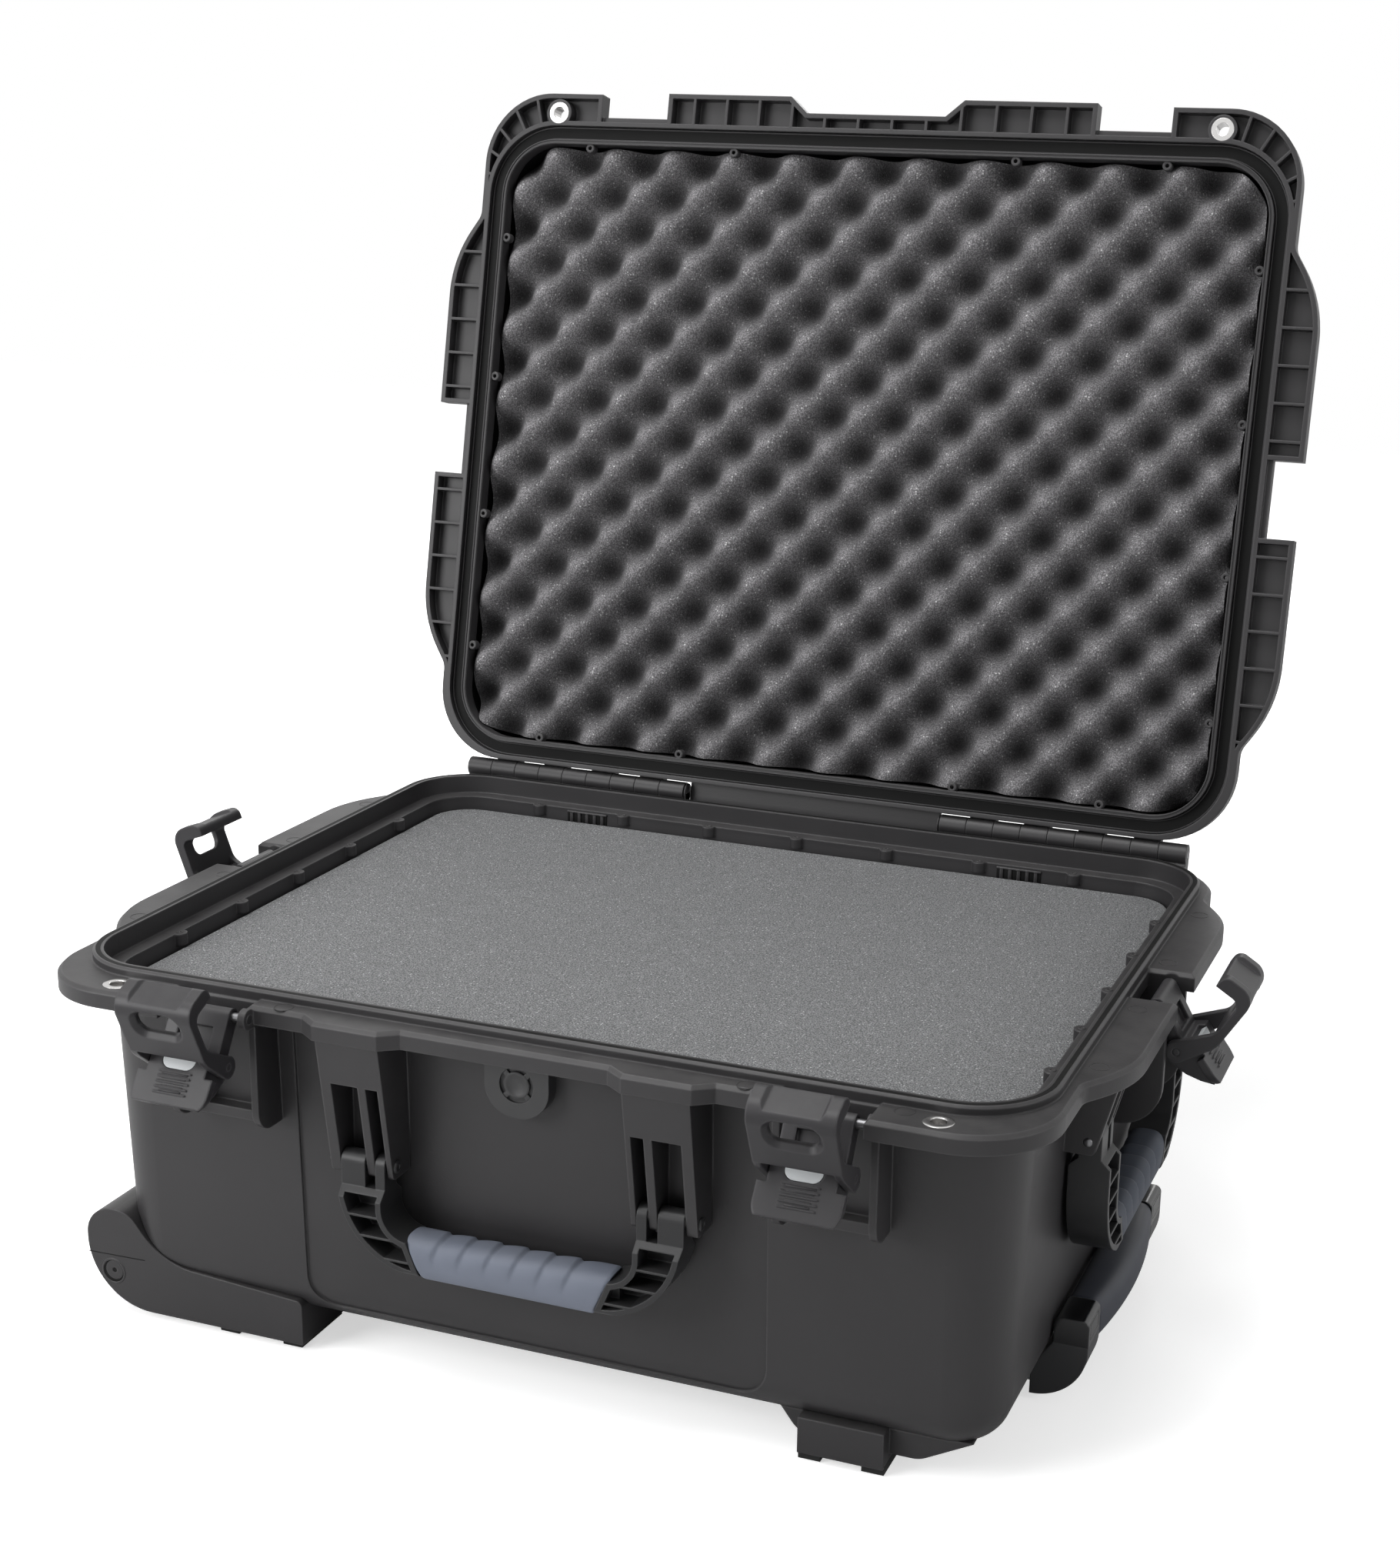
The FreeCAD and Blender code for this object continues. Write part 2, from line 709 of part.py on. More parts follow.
# Tub with rim, flange, wings, towers, fins, knuckles and the recesses for the wheel housings
def base_shell():
    middle = rim_y + s.middle_reach
    crest = rim_y + s.crest_reach
    crest_outer = s.crest_inner + s.crest_width
    bay_half = s.bay_width / 2
    half = [
        (s.crest_inner - s.crest_ramp, -middle, 0),
        (s.crest_inner, -crest, 0),
        (crest_outer, -crest, 0),
        (crest_outer + s.crest_ramp, -middle, 0),
        (latch_x - bay_half, -middle, 0),
    ]
    half += flange_tail(bay_half, s.bay_lip)
    half.append((rim_x + s.side_reach, rim_y + s.back_reach, s.flange_corner))
    flange = prism(whole_outline(half), "xy", flange_bottom, s.flange_top)
    flange = flange.makeChamfer(s.flange_chamfer, level_edges(flange, s.flange_top))
    rim = prism(rectangle(rim_x, rim_y, s.rim_corner), "xy", flange_bottom, rim_top)
    rim = rim.makeChamfer(s.rim_edge, level_edges(rim, rim_top))
    body = fuse([tub.cut(panel), flange, rim])
    inner_x, inner_y = rim_x - s.rim_width, rim_y - s.rim_width
    mouth = rectangle(inner_x, inner_y, s.rim_corner - s.rim_width)
    neck_back = s.tub_inset + s.wall
    neck = rectangle(rim_x - neck_back, rim_y - neck_back, s.rim_corner - neck_back)
    body = body.cut(prism(mouth, "xy", ledge, rim_top + s.overrun))
    body = body.cut(prism(neck, "xy", flange_bottom, ledge))
    body = body.cut(cavity)
    grown = prism(housing_outline(s.wall), "xz", housing_inner - s.wall, rim_y).common(tub)
    recess = prism(housing_outline(s.housing_gap), "xz", housing_inner - s.housing_gap, rim_y)
    body = fuse([body] + both_y(grown))
    for tool in both_y(recess):
        body = body.cut(tool)
    additions = knuckles("base") + ledge_bosses(rim_x - neck_back, rim_y - neck_back)
    front_fins = latch_fins(s.fin_reach, s.fin_radius)
    end_fins = latch_fins(s.end_fin_reach, s.end_fin_radius)
    for name, frame in latch_frames.items():
        additions.append(placed(end_fins if name.endswith("end") else front_fins, frame))
    additions += [placed(handle_towers(prefix), frame) for prefix, frame in handle_frames.items()]
    body = fuse([body] + additions)
    pins = [placed(latch_pin_hole(), frame) for frame in latch_frames.values()]
    cuts = pins + [valve_stem()] + eyelet_holes(flange_bottom, s.flange_top)
    return body.cut(Part.Compound(cuts))


# Half-round screw bosses on the inner wall under the ledge, rooted in half of its thickness
def ledge_bosses(neck_x, neck_y):
    pitch = s.ledge_boss_pitch
    long_count, short_count = int((rim_x - s.rim_corner) // pitch), int((rim_y - s.rim_corner) // pitch)
    places = []
    for i in range(-long_count, long_count + 1):
        places += [(i * pitch, -neck_y), (i * pitch, neck_y)]
    for i in range(-short_count, short_count + 1):
        places += [(-neck_x, i * pitch), (neck_x, i * pitch)]
    low = ledge - s.ledge_boss_height
    reach_x, reach_y = neck_x + s.wall / 2, neck_y + s.wall / 2
    inside = box(-reach_x, reach_x, -reach_y, reach_y, low, ledge)
    rounds = [Part.makeCylinder(s.ledge_boss_radius, s.ledge_boss_height, Vector(x, y, low)) for x, y in places]
    return [boss.common(inside) for boss in rounds]


def latch_pin_hole():
    reach = s.bay_width / 2 + s.fin_thickness
    at = Vector(-reach, latch_pivot.y, latch_pivot.z)
    return rod(at, at + Vector(2 * reach, 0, 0), s.latch_pin_radius)


# Thin cross ribs in the lid flange's channel, clipped to the flange
def lid_ribs(flange):
    thick = s.rib_thickness / 2
    inner, wing = rim_x + s.groove_clearance, rim_x + s.wing_reach
    front, back = -rim_y - s.lid_crest_reach, -rim_y - s.groove_clearance
    ribs = []
    side_start = s.lid_notch_width / 2 + s.rib_pitch / 2
    for sign, limit in ((-1, wing_front), (1, wing_back)):
        for i in range(int((limit - side_start) // s.rib_pitch) + 1):
            y = sign * (side_start + i * s.rib_pitch)
            ribs += both_x(box(inner, wing, y - thick, y + thick, lid_bottom, lid_flange_top))
    crest_end = latch_x - s.lid_notch_width / 2
    x = s.rib_pitch / 2
    while x < crest_end:
        ribs += both_x(box(x - thick, x + thick, front, back, lid_bottom, lid_flange_top))
        x += s.rib_pitch
    corner = Vector(rim_x - s.rim_corner, -rim_y + s.rim_corner, 0)
    near, far = s.rim_corner + s.groove_clearance, s.rim_corner * 2
    spoke = box(near, far, -thick, thick, lid_bottom, lid_flange_top)
    count = int(s.corner_rib_count)
    for i in range(count):
        turn = Rotation(Vector(0, 0, 1), -90 * (i + 1) / (count + 1))
        rib = placed(spoke, Placement(corner, turn))
        ribs += both_x(rib)
    return Part.Compound(ribs).common(flange)


# Lid moulding in its shut position: domed shell, grooved rim, ribbed flange with catches, knuckles
def lid_shell():
    crest = rim_y + s.lid_crest_reach
    bay_half = s.lid_notch_width / 2
    half = [
        (s.lid_crest_inner - s.lid_crest_ramp, -rim_y - s.lid_middle_reach, 0),
        (s.lid_crest_inner, -crest, 0),
        (latch_x - bay_half, -crest, 0),
    ]
    half += flange_tail(bay_half, band_reach)
    half.append((rim_x + s.side_reach, rim_y + band_reach, s.flange_corner))
    outline = whole_outline(half)
    flange = prism(outline, "xy", lid_bottom, lid_flange_top)
    channel = prism(inset_outline(outline, s.skirt), "xy", lid_bottom, lid_flange_top - s.flange_plate)
    band = rectangle(rim_x + band_reach, rim_y + band_reach, s.rim_corner + band_reach)
    band = prism(band, "xy", lid_bottom, lid_flange_top)
    pieces = [flange.cut(channel), band]
    ribs = lid_ribs(flange)
    pieces += ribs.Solids
    for x in (-eyelet_x, eyelet_x):
        at = Vector(x, -rim_y - s.eyelet_out, lid_bottom)
        pieces.append(Part.makeCylinder(s.eyelet_boss, s.lid_flange_height, at))
    for frame in latch_frames.values():
        low = lid_flange_top - s.catch_height
        catch = box(-bay_half, bay_half, 0, s.catch_reach, low, lid_flange_top)
        pieces.append(placed(catch, frame))
    stop_half, stop_low = s.hinge_inner - s.stop_plate_gap, lid_flange_top - s.flange_plate
    stop_end = rim_y + s.stop_plate_reach
    pieces.append(box(-stop_half, stop_half, rim_y, stop_end, stop_low, lid_flange_top))
    dome_x, dome_y = rim_x + s.lid_swell, rim_y + s.lid_swell
    corner = s.rim_corner + s.lid_swell
    mouth = rounded_wire(rectangle(dome_x, dome_y, corner), "xy", lid_bottom + s.flange_plate)
    crown = rectangle(dome_x - s.lid_taper, dome_y - s.lid_taper, corner - s.lid_taper)
    dome = Part.makeLoft([mouth, rounded_wire(crown, "xy", lid_top)], True, True)
    dome = dome.makeFillet(s.lid_edge_radius, level_edges(dome, lid_top))
    body = fuse(pieces + [dome] + knuckles("lid"))
    opening = rim_x - s.rim_width - band_reach, rim_y - s.rim_width - band_reach
    throat_corner = s.rim_corner - s.rim_width - band_reach
    throat_top = lid_bottom + s.groove_depth + s.lip
    throat = prism(rectangle(*opening, throat_corner), "xy", lid_bottom - s.overrun, throat_top)
    inner = s.lid_wall - s.lid_swell
    low = rounded_wire(rectangle(rim_x - inner, rim_y - inner, s.rim_corner - inner), "xy", throat_top)
    top_back = inner + s.lid_taper
    high = rectangle(rim_x - top_back, rim_y - top_back, s.rim_corner - top_back)
    hollow = Part.makeLoft([low, rounded_wire(high, "xy", lid_ceiling)], True, True)
    hollow = hollow.makeChamfer(s.lid_cavity_bevel, level_edges(hollow, lid_ceiling))
    body = body.cut(throat.fuse(hollow)).cut(groove())
    return body.cut(Part.Compound(eyelet_holes(lid_bottom, lid_flange_top)))


def ring(outer, inner, bottom, top):
    outside = prism(rectangle(rim_x + outer, rim_y + outer, s.rim_corner + outer), "xy", bottom, top)
    inside = prism(rectangle(rim_x + inner, rim_y + inner, s.rim_corner + inner), "xy", bottom, top)
    return outside.cut(inside)


def groove():
    inner = -s.rim_width - s.groove_clearance
    return ring(s.groove_clearance, inner, lid_bottom - s.overrun, lid_bottom + s.groove_depth)


def lid_seal():
    outer = s.groove_clearance - s.seal_inset
    inner = -s.rim_width - s.groove_clearance + s.seal_inset
    top = lid_bottom + s.groove_depth
    return ring(outer, inner, top - s.seal_thickness, top)


# Egg-crate foam: rows of peaks and hollows towards the base, trimmed to the lid's inside
def lid_foam():
    half_x = rim_x - s.rim_width - band_reach - s.egg_gap
    half_y = rim_y - s.rim_width - band_reach - s.egg_gap
    step_x, step_y = half_x / s.egg_columns, half_y / s.egg_rows
    columns, rows = int(s.egg_columns) + 1, int(s.egg_rows) + 1
    middle = lid_bottom + s.egg_clearance + s.egg_height / 2

    def node(i, j):
        side = -1 if (i + j) % 2 else 1
        return Vector(i * step_x, j * step_y, middle + side * s.egg_height / 2)

    faces = []
    for i in range(-columns, columns):
        for j in range(-rows, rows):
            saddle = Vector((i + 0.5) * step_x, (j + 0.5) * step_y, middle)
            ring_nodes = [node(i, j), node(i + 1, j), node(i + 1, j + 1), node(i, j + 1)]
            for first, second in zip(ring_nodes, ring_nodes[1:] + ring_nodes[:1]):
                faces.append(flat_face([first, second, saddle]))
    signs = ((-1, -1), (1, -1), (1, 1), (-1, 1))
    back = [Vector(x * columns * step_x, y * rows * step_y, lid_top) for x, y in signs]
    faces.append(flat_face(back))
    along = [[node(i, side * rows) for i in range(-columns, columns + 1)] for side in (-1, 1)]
    across = [[node(side * columns, j) for j in range(-rows, rows + 1)] for side in (-1, 1)]
    for edge in along + across:
        high = [Vector(edge[-1].x, edge[-1].y, lid_top), Vector(edge[0].x, edge[0].y, lid_top)]
        faces.append(flat_face(edge + high))
    shell = Part.Shell(faces)
    shell.sewShape()
    corner = s.rim_corner - s.rim_width - band_reach - s.egg_gap
    trim = prism(rectangle(half_x, half_y, corner), "xy", lid_bottom, lid_ceiling)
    trim = trim.makeChamfer(s.egg_bevel, level_edges(trim, lid_ceiling))
    return Part.Solid(shell).common(trim)


def flat_face(points):
    return Part.Face(Part.makePolygon(points + points[:1]))


tab_turn = math.radians(s.tab_angle)
tab_along = Vector(0, math.cos(tab_turn), -math.sin(tab_turn))
tab_normal = Vector(0, math.sin(tab_turn), math.cos(tab_turn))
tab_start = claw_pivot + Vector(0, s.tab_out, s.tab_rise)


# Corner on the finger tab: distance along it from its start, and height above its face
def tab_corner(along, height):
    point = tab_start + tab_along * along + tab_normal * height
    return (point.y, point.z, 0)


def tab_slab(start, end, low, high, half_width):
    corners = [tab_corner(start, low), tab_corner(end, low), tab_corner(end, high), tab_corner(start, high)]
    return prism(corners, "yz", -half_width, half_width)


# Lever: knuckle and link to the claw pivot with its two trunnions, and the ribbed finger tab
def latch_lever():
    along = (claw_pivot - latch_pivot).normalize()
    across = Vector(0, -along.z, along.y) * s.link_half_width
    half = s.lever_width / 2
    wide = Vector(half, 0, 0)
    link = [latch_pivot + across, claw_pivot + across, claw_pivot - across, latch_pivot - across]
    body = [(claw_pivot.y + a * s.tab_length, claw_pivot.z + b * s.tab_length, 0) for a, b in body_shares]
    body += [tab_corner(s.tab_length, -s.tab_thickness), tab_corner(s.tab_wide_from, 0), tab_corner(0, 0)]
    edge = s.tab_width / 2
    low, high = tab_corner(s.tab_length, -s.tab_thickness)[1], tab_start.z
    front = [(edge, high, 0), (-edge, high, 0), (-edge, low, s.tab_radius), (edge, low, s.tab_radius)]
    outline = prism(front, "xz", 0, tab_start.y + s.tab_length)
    trunnion = Vector(s.claw_width / 2, 0, 0)
    pieces = [
        prism([(p.y, p.z, 0) for p in link], "yz", -half, half),
        rod(latch_pivot - wide, latch_pivot + wide, s.link_half_width),
        prism(body, "yz", -half, half),
        tab_slab(0, s.tab_length, -s.tab_thickness, 0, half).common(outline),
        tab_slab(s.tab_wide_from, s.tab_length, -s.tab_thickness, 0, edge).common(outline),
        rod(claw_pivot - trunnion, claw_pivot + trunnion, s.claw_pin_radius),
    ]
    lever = fuse(pieces).cut(lock_block(s.lock_gap, s.lock_travel))
    lever = lever.cut(rod(latch_pivot - wide, latch_pivot + wide, s.latch_pin_radius + s.running_clearance))
    pocket_start = latch_pivot + along * s.link_pocket_margin + across
    pocket_end = claw_pivot - along * s.link_pocket_margin + across
    inward = across * (-s.link_pocket_depth / s.link_half_width)
    pocket = [pocket_start, pocket_end, pocket_end + inward, pocket_start + inward]
    pocket_half = s.link_pocket_width / 2
    lever = lever.cut(prism([(p.y, p.z, 0) for p in pocket], "yz", -pocket_half, pocket_half))
    first = s.lock_start + s.lock_length + s.tab_rib_pitch / 2
    ribs = []
    for i in range(int(s.tab_rib_count)):
        start = first + i * s.tab_rib_pitch
        end = start + s.tab_rib_height
        ribs.append(tab_slab(start, end, -s.tab_rib_height, s.tab_rib_height, s.tab_rib_width / 2))
    return fuse([lever] + ribs)


# Slide lock let into the tab, or its pocket when grown by a gap and lengthened by the travel towards the claw
def lock_block(gap, travel):
    end = s.lock_start + s.lock_length + gap
    top = s.overrun if gap else 0
    block = tab_slab(s.lock_start - travel - gap, end, -s.lock_depth - gap, top, s.lock_width / 2 + gap)
    ends = [tab_start + tab_along * end + tab_normal * level for level in (-s.lock_depth - gap, top)]
    lower = [edge for edge in block.Edges if abs(edge.Length - (ends[1] - ends[0]).Length) < 1e-6]
    lower = [edge for edge in lower if abs((edge.CenterOfMass - ends[0]).dot(tab_along)) < 1e-6]
    return block.makeFillet(s.lock_radius + gap, lower)


# Claw about its own pivot, upright: two cheeks, a windowed plate and the hook
def latch_claw():
    half = s.claw_width / 2
    top = s.claw_reach + s.hook_thickness
    inner_face = s.claw_face - s.claw_plate
    cheek = [
        (s.cheek_radius * tip_shares[0], -s.cheek_radius * tip_shares[1], 0),
        (s.claw_face, s.claw_plate_base - s.cheek_thickness / 2, s.claw_bend),
        (s.claw_face, top, s.hook_outer_radius),
        (-s.hook_tip, top, s.hook_inner_radius),
        (-s.hook_tip, s.claw_reach, 0),
        (inner_face, s.claw_reach, s.hook_inner_radius),
        (inner_face, s.claw_plate_base + s.cheek_thickness, s.claw_bend / 2),
        (-s.cheek_radius * tip_shares[1], s.cheek_radius * tip_shares[0], 0),
    ]
    pieces = []
    for start in (-half, half - s.cheek_thickness):
        end = start + s.cheek_thickness
        boss = rod(Vector(start, 0, 0), Vector(end, 0, 0), s.cheek_radius)
        pieces.append(prism(cheek, "yz", start, end).fuse(boss))
    middle = cheek[2:6] + [(inner_face, s.claw_plate_base, 0), (s.claw_face, s.claw_plate_base, 0)]
    pieces.append(prism(middle, "yz", -half, half))
    claw = fuse(pieces)
    back = inner_face - s.overrun
    claw = claw.cut(prism(window_outline(0), "xz", back, s.claw_face))
    rims = [(0, s.claw_face - s.window_bevel), (s.window_bevel, s.claw_face)]
    claw = claw.cut(Part.makeLoft([rounded_wire(window_outline(grow), "xz", y) for grow, y in rims], True, True))
    scoop_half, scoop_low = s.scoop_width / 2, top - s.scoop_depth
    scoop = [
        (scoop_half + s.scoop_depth, top, 0),
        (scoop_half, scoop_low, 0),
        (-scoop_half, scoop_low, 0),
        (-scoop_half - s.scoop_depth, top, 0),
    ]
    claw = claw.cut(prism(scoop, "xz", -s.hook_tip - s.overrun, s.claw_face + s.overrun))
    ends = Vector(-half - s.overrun, 0, 0), Vector(half + s.overrun, 0, 0)
    return claw.cut(rod(*ends, s.claw_pin_radius + s.running_clearance))


# Rounded window in the claw's plate, grown for the bevel round it
def window_outline(grow):
    half_width, half_height = s.window_width / 2 + grow, s.window_height / 2 + grow
    middle = s.window_base + s.window_height / 2
    corners = rectangle(half_width, half_height, half_height - s.rim_edge)
    return [(x, middle + z, radius) for x, z, radius in corners]


# Bow of a carry handle with forked, pocketed arms and a core for the grip
def handle_frame(prefix):
    h = handle_sizes(prefix)
    arm_out = slot_two + s.slot_outer - s.prong_gap
    arm_in = slot_one + s.prong_gap
    centre = h.pivot_height - h.grip_drop
    low, high = centre - s.grip_height / 2 + s.arm_web, centre + s.grip_height / 2 - s.arm_web
    bow = [
        (arm_out, h.pivot_height, 0),
        (arm_out, low, s.arm_bend),
        (-arm_out, low, s.arm_bend),
        (-arm_out, h.pivot_height, 0),
        (-arm_in, h.pivot_height, 0),
        (-arm_in, high, s.arm_inner_bend),
        (arm_in, high, s.arm_inner_bend),
        (arm_in, h.pivot_height, 0),
    ]
    thin, deep = s.handle_half_thickness, s.grip_half_depth
    face = Part.Face(rounded_wire(bow, "xz", -deep))
    gap = Part.Face(rounded_wire(grip_side(centre), "xz", -deep))
    face = face.cut(gap)
    slit_low = h.pivot_height - s.prong_slit
    shoulder = slit_low - (deep - thin)
    half = [(thin, h.pivot_height, 0), (thin, slit_low, 0), (deep, shoulder, 0), (deep, low, s.arm_web)]
    side = half + [(-y, z, radius) for y, z, radius in reversed(half)]
    arms = face.extrude(Vector(0, 2 * deep, 0)).common(prism(side, "yz", -arm_out, arm_out))
    pieces = []
    for arm in face.Faces:
        pocket = arm.makeOffset2D(-s.arm_web)
        keep = h.pivot_height - s.prong_slit - s.arm_web
        clip = box(-arm_out, arm_out, -deep, deep, low, keep)
        tool = pocket.extrude(Vector(0, s.arm_pocket, 0)).common(clip)
        level = keep - s.arm_rib_pitch
        while level > low + s.arm_web:
            rib = box(-arm_out, arm_out, -deep, deep, level - s.rim_edge / 2, level + s.rim_edge / 2)
            tool = tool.cut(rib)
            level -= s.arm_rib_pitch
        arms = arms.cut(tool)
    for start, width in ((slot_one, s.slot_inner), (slot_two, s.slot_outer)):
        first = Vector(start + s.prong_gap, 0, h.pivot_height)
        last = Vector(start + width - s.prong_gap, 0, h.pivot_height)
        pieces += both_x(rod(first, last, thin))
    core = grip_core(s.grip_base_half + s.grip_flare + s.arm_web, centre)
    frame = fuse([arms, core] + pieces)
    slit_start = slot_one + s.slot_inner - s.prong_gap
    slit = box(slit_start, slot_two + s.prong_gap, -2 * deep, 2 * deep, slit_low, h.pivot_height + 2 * deep)
    reach = Vector(tower_outer, 0, 0)
    at = Vector(0, 0, h.pivot_height)
    bore = rod(at - reach, at + reach, s.handle_pin_radius + s.running_clearance)
    return frame.cut(Part.Compound(both_x(slit) + [bore]))


def grip_side(centre):
    low, high = centre - s.grip_height / 2, centre + s.grip_height / 2
    top_half = s.grip_base_half + s.grip_flare
    base_half = s.grip_base_half
    return [(base_half, low, 0), (top_half, high, 0), (-top_half, high, 0), (-base_half, low, 0)]


def grip_core(length, centre):
    half = s.grip_core_height / 2
    deep = s.grip_core_half_depth
    return box(-length, length, -deep, deep, centre - half, centre + half)


# Soft grip over the core
def handle_grip(prefix):
    h = handle_sizes(prefix)
    centre = h.pivot_height - h.grip_drop
    deep, tall = s.grip_half_depth, s.grip_height / 2
    section = [(y, centre + z, radius) for y, z, radius in rectangle(deep, tall, s.grip_radius)]
    length = s.grip_base_half + s.grip_flare
    grip = prism(section, "yz", -length, length).common(prism(grip_side(centre), "xz", -deep, deep))
    return grip.cut(grip_core(length, centre))


valve_height = flange_bottom - s.valve_drop


# Shield-shaped valve cap on the recessed panel, with a round dish
def valve_cap():
    half = s.valve_width / 2
    top = valve_height + s.valve_top
    base = valve_height - half
    shield = [
        (half, top, s.rim_edge),
        (-half, top, s.rim_edge),
        (-half, base, half - s.rim_edge),
        (half, base, half - s.rim_edge),
    ]
    seat = tub.translated(Vector(0, s.panel_depth, 0))
    face = -rim_y + s.tub_inset - s.valve_thickness + s.panel_depth
    cap = prism(shield, "xz", face, face + 2 * s.valve_thickness).cut(seat)
    centre = Vector(0, face, valve_height)
    return cap.cut(rod(centre, centre + Vector(0, s.valve_dish_depth, 0), s.valve_dish_radius))


# Round stem through the front wall, also the tool for its hole
def valve_stem():
    start = Vector(0, -rim_y, valve_height)
    return rod(start, start + Vector(0, s.tub_inset * 2 + s.wall, 0), s.valve_core_radius)


def valve_core():
    return valve_stem().common(tub.translated(Vector(0, s.panel_depth, 0))).cut(cavity)


housing_pads = [back - axle_x for back in (s.housing_pad_inner_back, s.housing_pad_outer_back)]


# Wheel housing on the front side: outer and inner cheek, arch over the wheel, long skid with pads
def wheel_housing():
    block = prism(housing_outline(0), "xz", housing_inner, housing_outer)
    slot_half = s.wheel_width / 2 + s.wheel_side_gap
    arch = s.wheel_radius + s.wheel_arch_gap
    axle = Vector(-axle_x, wheel_y - slot_half, s.axle_height)
    tools = [rod(axle, axle + Vector(0, 2 * slot_half, 0), arch)]
    far = -housing_end - s.overrun
    tools.append(box(far, -axle_x, wheel_y - slot_half, wheel_y + slot_half, 0, s.axle_height + arch))
    tools.append(box(far, -axle_x + arch, wheel_y - slot_half, wheel_y + slot_half, 0, s.axle_height))
    hole = Vector(-axle_x, housing_inner, s.axle_height)
    tools.append(rod(hole, Vector(hole.x, housing_outer, hole.z), s.axle_radius))
    block = block.cut(Part.Compound(tools[:3])).cut(tools[3])
    pads = [pad_box(x, wheel_y, s.housing_base) for x in housing_pads]
    return block.cut(Part.Compound(pads))


def pad_box(x, y, top):
    half = s.pad_length / 2
    return box(x - half, x + half, y - s.pad_width / 2, y + s.pad_width / 2, 0, top + s.pad_seat)


foot_outer = rim_x - s.foot_inset
foot_inner = foot_outer - s.foot_length
foot_front = wheel_y + s.foot_width / 2
foot_block_x = foot_inner + s.foot_block_start
foot_pads = [foot_block_x + s.pad_length / 2, foot_block_x + s.foot_block_length - s.pad_length / 2]


# Foot at the front: a block for the pads and a set-back bar, under the tub's curved edge
def foot_block():
    height = s.foot_top - s.foot_base
    corners = [(foot_inner + a * s.foot_length, s.foot_base + b * height, s.foot_bend) for a, b in foot_shares]
    corners = [(foot_inner, s.foot_top, 0)] + corners + [(foot_outer, s.foot_top, 0)]
    back = -foot_front + s.foot_width
    bar_shape = prism(corners, "xz", -foot_front + s.foot_setback, back)
    block = box(foot_block_x, foot_block_x + s.foot_block_length, -foot_front, back, s.foot_base, s.foot_top)
    block = block.fuse(bar_shape)
    pads = [pad_box(x, -wheel_y, s.foot_base) for x in foot_pads]
    return block.cut(tub).cut(Part.Compound(pads))


tube_y = s.tube_spacing / 2


# Saddles that hold the fixed tubes under the floor
def tube_clamps():
    half = s.clamp_width / 2
    clamps = []
    left = rim_x - s.tube_left_inset - s.clamp_left_back
    right = rim_x - s.tube_right_inset - s.clamp_right_back
    for x in (-left, right):
        for y in (-tube_y, tube_y):
            start, end = x - s.clamp_length / 2, x + s.clamp_length / 2
            block = box(start, end, y - half, y + half, s.clamp_base, s.tub_bottom)
            bore = rod(Vector(start, y, s.tube_height), Vector(end, y, s.tube_height), s.outer_tube_radius)
            clamps.append(block.cut(bore))
    return Part.Compound(clamps)


pull_outer = rim_x + s.pull_reach
pull_inner = pull_outer - s.pull_depth
pull_mid = (pull_inner + pull_outer) / 2
arm_root = pull_outer - s.arm_length
cap_base = s.pull_top - s.pull_cap_height
grip_mid = s.pull_top - s.pull_grip_height / 2
arm_half = tube_y + s.pull_arm_width / 2
grip_half = tube_y - s.pull_arm_width / 2


# Two bent arms on the inner tubes, joined by the core of the grip
def pull_crossbar():
    low = s.tube_height - s.outer_tube_radius
    profile = [
        (arm_root, low, 0),
        (pull_outer, low, s.pull_bend),
        (pull_outer, cap_base, 0),
        (pull_inner, cap_base, 0),
        (arm_root, s.tube_height + s.outer_tube_radius, 0),
    ]
    arm = prism(profile, "xz", grip_half, arm_half)
    socket = Vector(arm_root, tube_y, s.tube_height)
    arm = arm.cut(rod(socket, socket + Vector(s.inner_tube_seat, 0, 0), s.inner_tube_radius))
    return fuse(both_y(arm) + [pull_core()])


# Core that joins the arms, and the slot for it in the grip and the caps
def pull_core():
    return box(
        pull_mid - s.pull_core_half_depth,
        pull_mid + s.pull_core_half_depth,
        -arm_half + s.pull_edge,
        arm_half - s.pull_edge,
        grip_mid - s.pull_core_half_height,
        grip_mid + s.pull_core_half_height,
    )


# Grip over the core, bowed outwards in the middle
def pull_grip():
    low = s.pull_top - s.pull_grip_height
    wires = []
    for level, outer in ((-grip_half, 0), (0, s.pull_bulge), (grip_half, 0)):
        face = pull_outer + outer
        corners = [(pull_inner, s.pull_top), (face, s.pull_top), (face, low), (pull_inner, low)]
        wires.append(rounded_wire([(x, z, s.pull_grip_radius) for x, z in corners], "xz", level))
    return Part.makeLoft(wires, True).cut(pull_core())


# Glossy end caps on the arms, each with a pocket for its button
def pull_end_caps():
    corners = [
        (pull_inner, s.pull_top, s.pull_edge),
        (pull_outer, s.pull_top, s.pull_edge),
        (pull_outer, cap_base, 0),
        (pull_inner, cap_base, 0),
    ]
    cap = prism(corners, "xz", grip_half, arm_half).cut(pull_core())
    return Part.Compound(both_y(cap.cut(button_block(s.button_gap, s.button_travel))))


# Release button in the cap's outer face, or its pocket when grown by a gap and deepened by the travel
def button_block(gap, travel):
    half = s.button_width / 2 + gap
    tall = s.button_height / 2 + gap
    middle = (cap_base + s.pull_top) / 2
    inner = pull_outer - s.button_thickness - travel - gap
    outer = pull_outer + s.overrun if gap else pull_outer
    return box(inner, outer, tube_y - half, tube_y + half, middle - tall, middle + tall)


